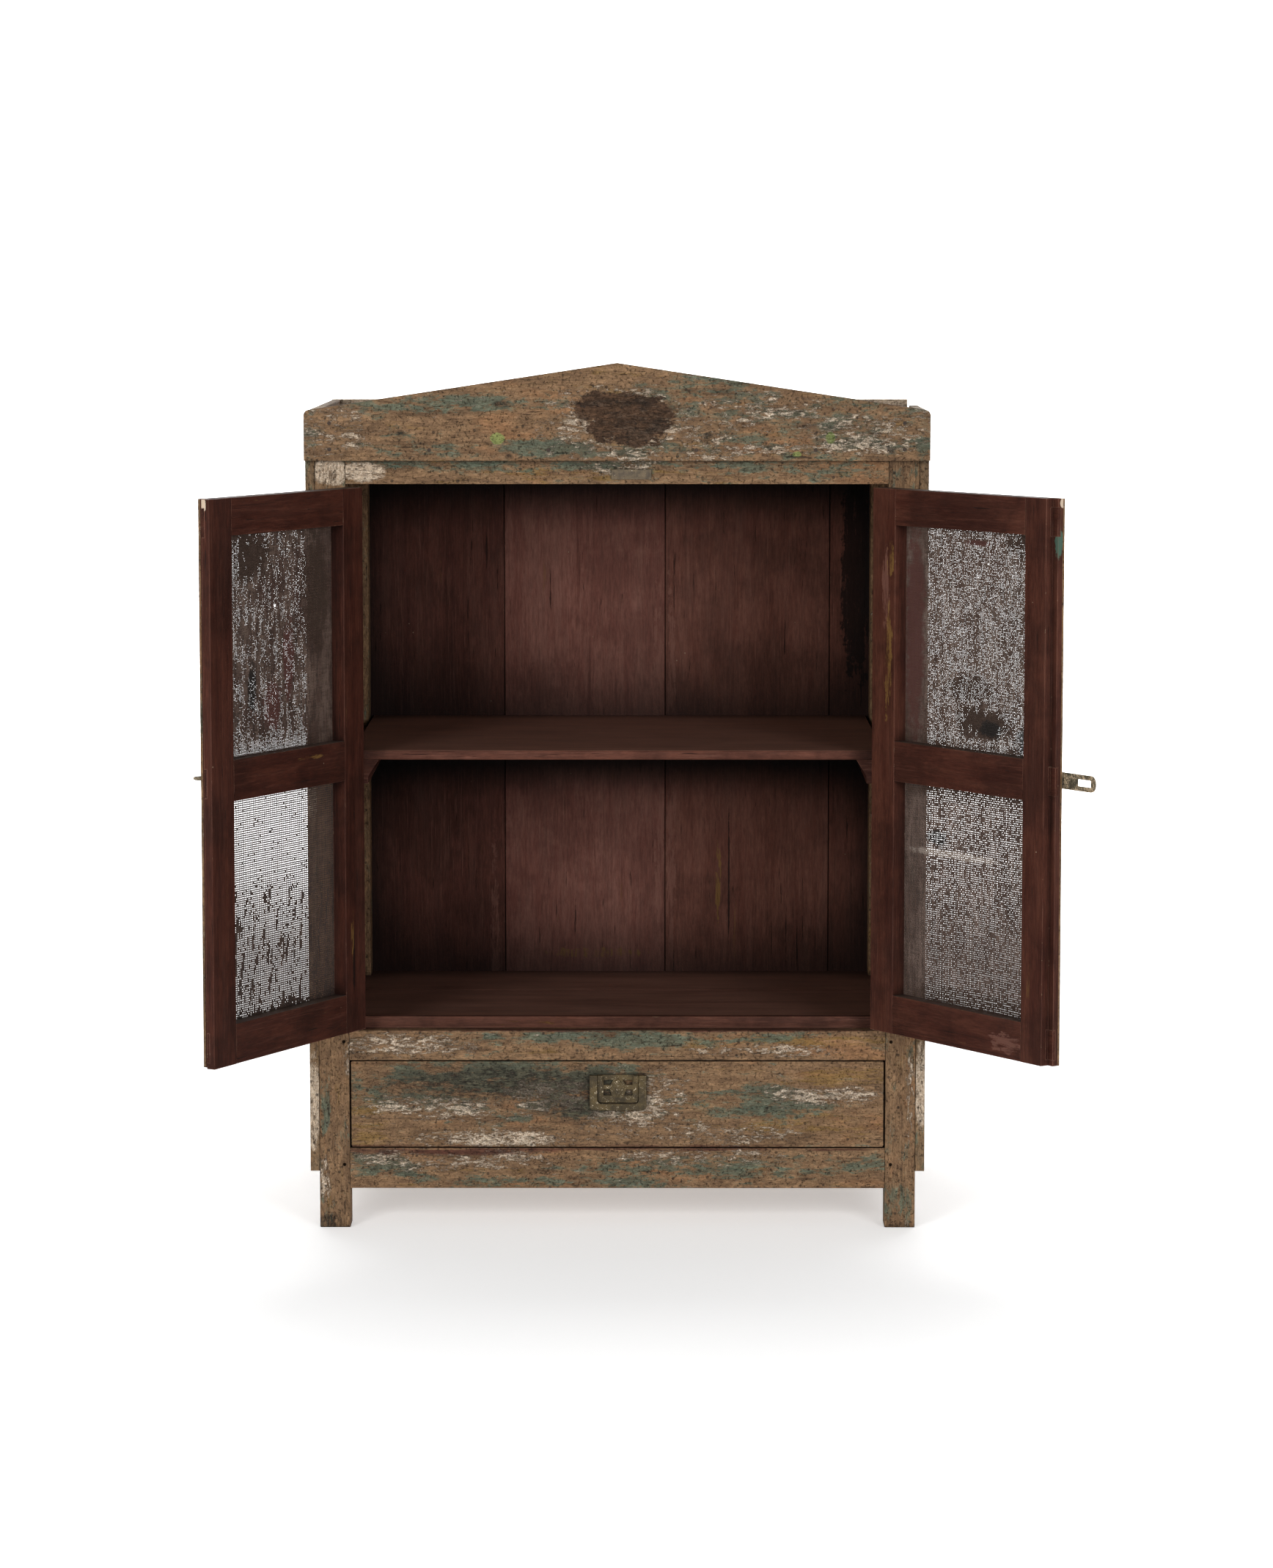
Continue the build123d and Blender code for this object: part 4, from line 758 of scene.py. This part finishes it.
dress("drawer_rail", worn_paint(
    "drawer_rail_paint", "X", 7.7, green=0.0, cream=0.4, ochre=0.9,
    patches=(("maroon", tuple(mm(0, 10, 282)), (0.5, 0.06, 0.0025)),) + marks(
        0,
        ("cream", -300, 260, 90, 16),
        ("cream", 230, 254, 120, 10),
        ("green", 60, 270, 240, 12),
        ("ochre", 250, 266, 160, 10),
    ),
))
dress("bottom_rail", worn_paint(
    "bottom_rail_paint", "X", 9.2, green=-0.3, cream=0.3, ochre=0.6,
    patches=marks(
        0,
        ("cream", -255, 97, 130, 14),
        ("cream", -150, 104, 70, 10),
        ("cream", 120, 100, 140, 12),
        ("green", 180, 88, 240, 16),
        ("green", -340, 90, 60, 18),
        ("maroon", -230, 109, 140, 5),
        ("maroon", 60, 112, 400, 2),
        ("green", -100, 64, 200, 8),
    ),
))
dress("drawer_front", worn_paint(
    "drawer_paint", "X", 12.4, green=0.0, cream=0.5, ochre=0.8,
    patches=marks(
        0,
        ("green", -190, 205, 200, 42),
        ("green", -100, 175, 110, 24),
        ("dark", -180, 208, 160, 26),
        ("dark", -60, 190, 60, 40),
        ("cream", -240, 172, 120, 18),
        ("cream", -100, 186, 90, 26),
        ("cream", -160, 128, 150, 13),
        ("cream", 60, 186, 50, 30),
        ("cream", 150, 135, 110, 18),
        ("cream", 0, 150, 60, 26),
        ("cream", 300, 190, 90, 12),
        ("ochre", 300, 215, 90, 14),
        ("ochre", -352, 150, 30, 40),
        ("ochre", 240, 150, 120, 14),
        ("green", 180, 176, 120, 26),
        ("maroon", -100, 117, 300, 2),
    ),
))
POST_MARKS = {
    "post_front_left": marks(
        0,
        ("solid", -398, 1066, 24, 18),
        ("green", -398, 1080, 30, 5),
        ("cream", -381, 240, 6, 30),
        ("green", -412, 180, 8, 50),
        ("dark", -405, 10, 20, 10),
        ("cream", -412, 70, 8, 30),
    ),
    "post_front_right": marks(
        0,
        ("cream", 412, 190, 6, 60),
        ("green", 386, 40, 20, 30),
        ("cream", 382, 560, 10, 30),
        ("cream", 384, 520, 8, 20),
        ("green", 398, 1066, 20, 10),
    ),
    "post_rear_left": (),
    "post_rear_right": (),
}
for index, (node, post_marks) in enumerate(POST_MARKS.items()):
    dress(node, worn_paint(
        f"{node}_paint", "Z", 15.0 + 3.1 * index, green=0.3, cream=0.35, ochre=0.5, patches=post_marks,
    ))
SIDE_BROWN = ("6d5a45", "84694c", "4b3a2b")
dress("left_side_boards", worn_paint(
    "left_side_paint", "Z", 31.0, green=0.8, cream=0.6, ochre=0.1, brown=SIDE_BROWN,
    patches=(
        ("solid", tuple(mm(-420, 80, 1140)), (0.03, 0.16, 0.03)),
        ("solid", tuple(mm(-427, 10, 620)), (0.01, 0.02, 0.05)),
        ("solid", tuple(mm(-427, 10, 180)), (0.01, 0.02, 0.07)),
    ),
))
dress("right_side_boards", worn_paint(
    "right_side_paint", "Z", 37.0, green=0.8, cream=0.6, ochre=0.1, brown=SIDE_BROWN,
    patches=(
        ("solid", tuple(mm(420, 80, 1140)), (0.03, 0.12, 0.03)),
        ("solid", tuple(mm(427, 10, 200)), (0.01, 0.02, 0.07)),
    ),
))
dress("back_gallery", worn_paint(
    "back_gallery_paint", "X", 41.0, green=0.6, cream=1.2, ochre=0.1, brown=("776655", "8f7d68", "54463a"),
    patches=(
        ("solid", tuple(mm(-330, 545, 1148)), (0.14, 0.02, 0.012)),
        ("solid", tuple(mm(340, 545, 1148)), (0.12, 0.02, 0.010)),
    ),
))
dress("keeper_plate", old_metal(
    "keeper_metal", ("4a4136", "6a5c47", "3a2a1f", "8d7d63"), "c9baa4", 0.5, 0.5, 0.45, 2.0,
))

# Back boards: maroon inside; the outside faces are bare and grey
BACK_FACE = 550
BACK_OUTSIDE = ("bare", 0.4625, 1)
# Painted shadow: heights of the dark bands under the shelf and under the top.
PAINTED_SHADOW_BANDS = ((0.535, 0.612, 0.665), (0.945, 1.035, 1.08))  # under the shelf and under the top
# Boards 1 and 4 at the sides get darker maroon tones, board 1 most, and board 4 a dark patch at the right
# of the upper compartment: painted shade for the less-lit sides of the interior.
BACK_BOARDS = (
    (("4a2922", "57342b", "3b211a"), marks(BACK_FACE, ("light", -190, 330, 10, 200))),
    (("673f36", "765046", "522f28"), marks(
        BACK_FACE,
        ("light", 60, 600, 12, 400),
        ("ochre", -40, 310, 100, 10),
    )),
    (("5c362c", "6c463b", "462a22"), marks(
        BACK_FACE,
        ("light", 78, 560, 10, 450),
        ("dark", 166, 420, 1.6, 130),
        ("ochre", 150, 420, 6, 80),
    )),
    (("573229", "653e33", "40251d"), marks(BACK_FACE, ("dark", 360, 900, 30, 200))),
)
# Each board gets painted shade where other pieces close it in, and the painted shadow bands.
for index, (tone, board_marks) in enumerate(BACK_BOARDS, start=1):
    dress(f"back_board_{index}", red_paint(
        f"back_board_{index}_paint", "Z", 2.0 + 5 * index, tone=tone, dust=0.20, wear=0.4, scratch=0.3,
        patches=board_marks, gloss=0.62, outside=BACK_OUTSIDE, corner_shade=(0.15, 0.50, 0.92, 0.12), shadow_bands=PAINTED_SHADOW_BANDS,
    ))

# Painted shade in corners where other pieces close in: occlusion distance, range and depth.
CORNER_SHADE = (0.10, 0.45, 0.9, 0.3)
dress("shelf", red_paint(
    "shelf_paint", "X", 51.0, tone=("4c2b20", "5e392d", "351c15"), dust=0.1, wear=0.9, scratch=0.4,
    settled=("8a6658", 0.55), corner_shade=CORNER_SHADE,
))
dress("floor_boards", red_paint(
    "floor_paint", "X", 55.0, tone=("4a2a20", "5a372b", "331b14"), dust=0.15, wear=0.5, scratch=0.6,
    settled=("866355", 0.5), corner_shade=CORNER_SHADE,
))
dress("floor_stop", red_paint(
    "stop_paint", "X", 58.0, tone=("4b2c22", "5c392d", "321b14"), dust=0.1, wear=0.9, scratch=0.9,
))
dress("shelf_bearers", red_paint("bearer_paint", "X", 60.0, tone=("381c15", "48291f", "25120d"), dust=0.05))

# Doors: maroon inside, worn paint outside, with marks (kind, centre, radii) in door coordinates
DOOR_GRAIN = {
    "hinge_stile": "Z", "meeting_stile": "Z", "top_rail": "X", "mid_rail": "X", "bottom_rail": "X",
}
# The left door's maroon is set darker than the right's: painted shade for its less-lit inner face.
DOOR_TONES = {"left": ("331710", "432218", "200e09"), "right": ("3c1d15", "4d2b20", "27120d")}
DOOR_SEEDS = {"left": 0.0, "right": 40.0}
DOOR_MARKS = {
    ("left", "hinge_stile"): (
        ("dark", (0.030, 0.024, 0.10), (0.004, 0.004, 0.05)),
        ("ochre", (0.034, 0.024, 0.13), (0.006, 0.006, 0.05)),
    ),
    ("right", "hinge_stile"): (
        ("light", (0.030, 0.024, 0.62), (0.012, 0.012, 0.08)),
        ("ochre", (0.036, 0.024, 0.52), (0.012, 0.012, 0.12)),
        ("ochre", (0.040, 0.024, 0.66), (0.008, 0.012, 0.04)),
    ),
    ("left", "meeting_stile"): (("cream", (0.375, 0.012, 0.750), (0.006, 0.012, 0.012)),),
    ("right", "meeting_stile"): (
        ("green", (0.380, 0.010, 0.700), (0.006, 0.010, 0.020)),
        ("cream", (0.380, 0.004, 0.752), (0.005, 0.006, 0.008)),
    ),
    ("left", "mid_rail"): (("ochre", (0.14, 0.024, 0.395), (0.05, 0.05, 0.004)),),
    ("right", "bottom_rail"): (("light", (0.30, 0.024, 0.02), (0.05, 0.05, 0.018)),),
}


def door_marks(side, member):
    """The marks of one member of a door, in the row frame."""
    place, sign = door_matrix(side), DOORS[side][2]
    return tuple(
        (kind, tuple(place @ Vector((sign * x, y, z))), radii)
        for kind, (x, y, z), radii in DOOR_MARKS.get((side, member), ())
    )


for side, (pin, turn, sign) in DOORS.items():
    origin = door_matrix(side).translation
    seed = DOOR_SEEDS[side]
    for index, (member, grain) in enumerate(DOOR_GRAIN.items()):
        outer_face = 0.0036 if member == "meeting_stile" else 0.0008
        # Each member gets painted shade where other pieces close it in.
        dress(f"{side}_door_{member}", red_paint(
            f"{side}_{member}_paint", grain, seed + 4.0 * index, origin, turn, tone=DOOR_TONES[side],
            dust=0.05, wear=0.75, scratch=0.35, patches=door_marks(side, member),
            outside=("worn", outer_face, -1), corner_shade=(0.02, 0.40, 0.85, 0.35), line_tint="5f3b2f",
            settled=("5d5148", 0.55),
        ))
    dress(f"{side}_door_beads", worn_paint(
        f"{side}_beads_paint", "Z", 70.0 + seed, origin, turn, green=1.0, cream=0.5,
    ))
    dress(f"{side}_door_hinge_leaves", old_metal(
        f"{side}_leaf_metal", ("2b2019", "453325", "5a3420", "6d5a48"), "5b3a30", 0.5, 0.7, 0.5, 5.0,
    ))
    dress(f"{side}_door_screws", old_metal(
        f"{side}_screw_metal", ("2a211b", "3d3026", "553320", "6a5a49"), "8d7c68", 0.3, 0.6, 0.5, 6.0,
    ))

BARE = (
    "rear_rails", "drawer_back", "drawer_bottom", "top_boards",
    "left_side_rails", "right_side_rails", "drawer_runners", "drawer_sides",
)
for seed, node in enumerate(BARE, start=1):
    dress(node, bare_wood(f"{node}_wood", "X", float(seed)))

IRON = ("2a211b", "3f3228", "5a3520", "705e4c")
for node in ("nails", "hinge_pins", "post_hinge_leaves", "post_hinge_screws"):
    dress(node, old_metal(f"{node}_metal", IRON, "7d6a55", 0.4, 0.7, 0.5, 3.0 + len(node)))
STRAP = ("3f3a2c", "5d5340", "4a5c4c", "8a7a5e")
for node in ("hasp_strap", "hasp_plate", "hasp_pin", "staple"):
    dress(node, old_metal(f"{node}_metal", STRAP, "b9a283", 1.7, 0.7, 0.3, 4.0 + len(node), 0.8))
BRASS = ("3b3221", "5c4d30", "2a2119", "86703f")
for node in ("pull_plate", "drawer_pull"):
    dress(node, old_metal(f"{node}_metal", BRASS, "cdbd9f", 0.9, 0.5, 0.5, 8.0 + len(node), 0.7))

# ---------------------------------------------------------------- floor, light and camera


def studio_white():
    material = bpy.data.materials.new("studio_white")
    material.use_nodes = True
    shader = material.node_tree.nodes["Principled BSDF"]
    shader.inputs["Base Color"].default_value = (0.93, 0.93, 0.93, 1)
    shader.inputs["Roughness"].default_value = 0.9
    shader.inputs["Specular IOR Level"].default_value = 0.1
    shader.inputs["Emission Color"].default_value = (1, 1, 1, 1)
    shader.inputs["Emission Strength"].default_value = 0.42
    return material


# A floor that curves up into a back wall
FLOOR_Y = (-40.0, 6.0)
FLOOR_X = (-30.0, 30.0)
SWEEP_RADIUS = 2.0
WALL_TOP = 9.0

profile = [(FLOOR_Y[0], 0.0), (FLOOR_Y[1], 0.0)]
for degrees in range(10, 91, 10):
    angle = math.radians(degrees)
    y = FLOOR_Y[1] + SWEEP_RADIUS * math.sin(angle)
    z = SWEEP_RADIUS - SWEEP_RADIUS * math.cos(angle)
    profile.append((y, z))
profile.append((FLOOR_Y[1] + SWEEP_RADIUS, WALL_TOP))
sweep = bmesh.new()
rows = [[sweep.verts.new((x, y, z)) for x in FLOOR_X] for y, z in profile]
for low, high in zip(rows, rows[1:]):
    sweep.faces.new((low[0], low[1], high[1], high[0]))
floor = scene_mesh("studio_sweep", sweep, smooth=True)
floor.data.materials.append(studio_white())

world = bpy.data.worlds.new("studio_world")
SCENE.world = world
world.use_nodes = True
background = world.node_tree.nodes["Background"]
background.inputs["Color"].default_value = (1.0, 1.0, 1.0, 1)
background.inputs["Strength"].default_value = 0.16


def softbox(name, place, target, size, power, tint=(1, 1, 1)):
    light = bpy.data.lights.new(name, "AREA")
    light.shape = "RECTANGLE"
    light.size, light.size_y = size
    light.energy = power
    light.color = tint
    lamp = bpy.data.objects.new(name, light)
    lamp.location = place
    lamp.rotation_euler = (Vector(target) - Vector(place)).to_track_quat("-Z", "Y").to_euler()
    SCENE.collection.objects.link(lamp)


softbox("left_softbox", (-2.2, -4.6, 1.9), (0, 0, 0.7), (1.5, 1.5), 104, (1.0, 0.99, 0.97))
softbox("right_softbox", (2.1, -4.6, 1.8), (0, 0, 0.7), (1.5, 1.5), 88, (0.99, 0.99, 1.0))
softbox("top_softbox", (0.0, 2.4, 4.6), (0, 1.6, 0.0), (4.5, 2.5), 120)
softbox("back_softbox", (0.0, 3.6, 3.0), (0, 8.0, 1.4), (6.0, 2.0), 620)

PICTURE_SHAPE = 1736 / 2138  # width over height
FILM_HEIGHT = 36.0
TILT_DOWN = 6.436
TURN_LEFT = 0.146

camera_data = bpy.data.cameras.new("camera")
camera = bpy.data.objects.new("camera", camera_data)
camera_data.sensor_fit = "VERTICAL"
camera_data.sensor_height = FILM_HEIGHT
camera_data.sensor_width = FILM_HEIGHT * PICTURE_SHAPE
camera_data.lens = 105.2
camera_data.clip_end = 60.0
camera.location = mm(43.2, -6363.8, 1348.5)
camera.rotation_euler = (math.radians(90 - TILT_DOWN), 0.0, math.radians(TURN_LEFT))
SCENE.collection.objects.link(camera)
SCENE.camera = camera
SCENE.view_settings.view_transform = "Standard"
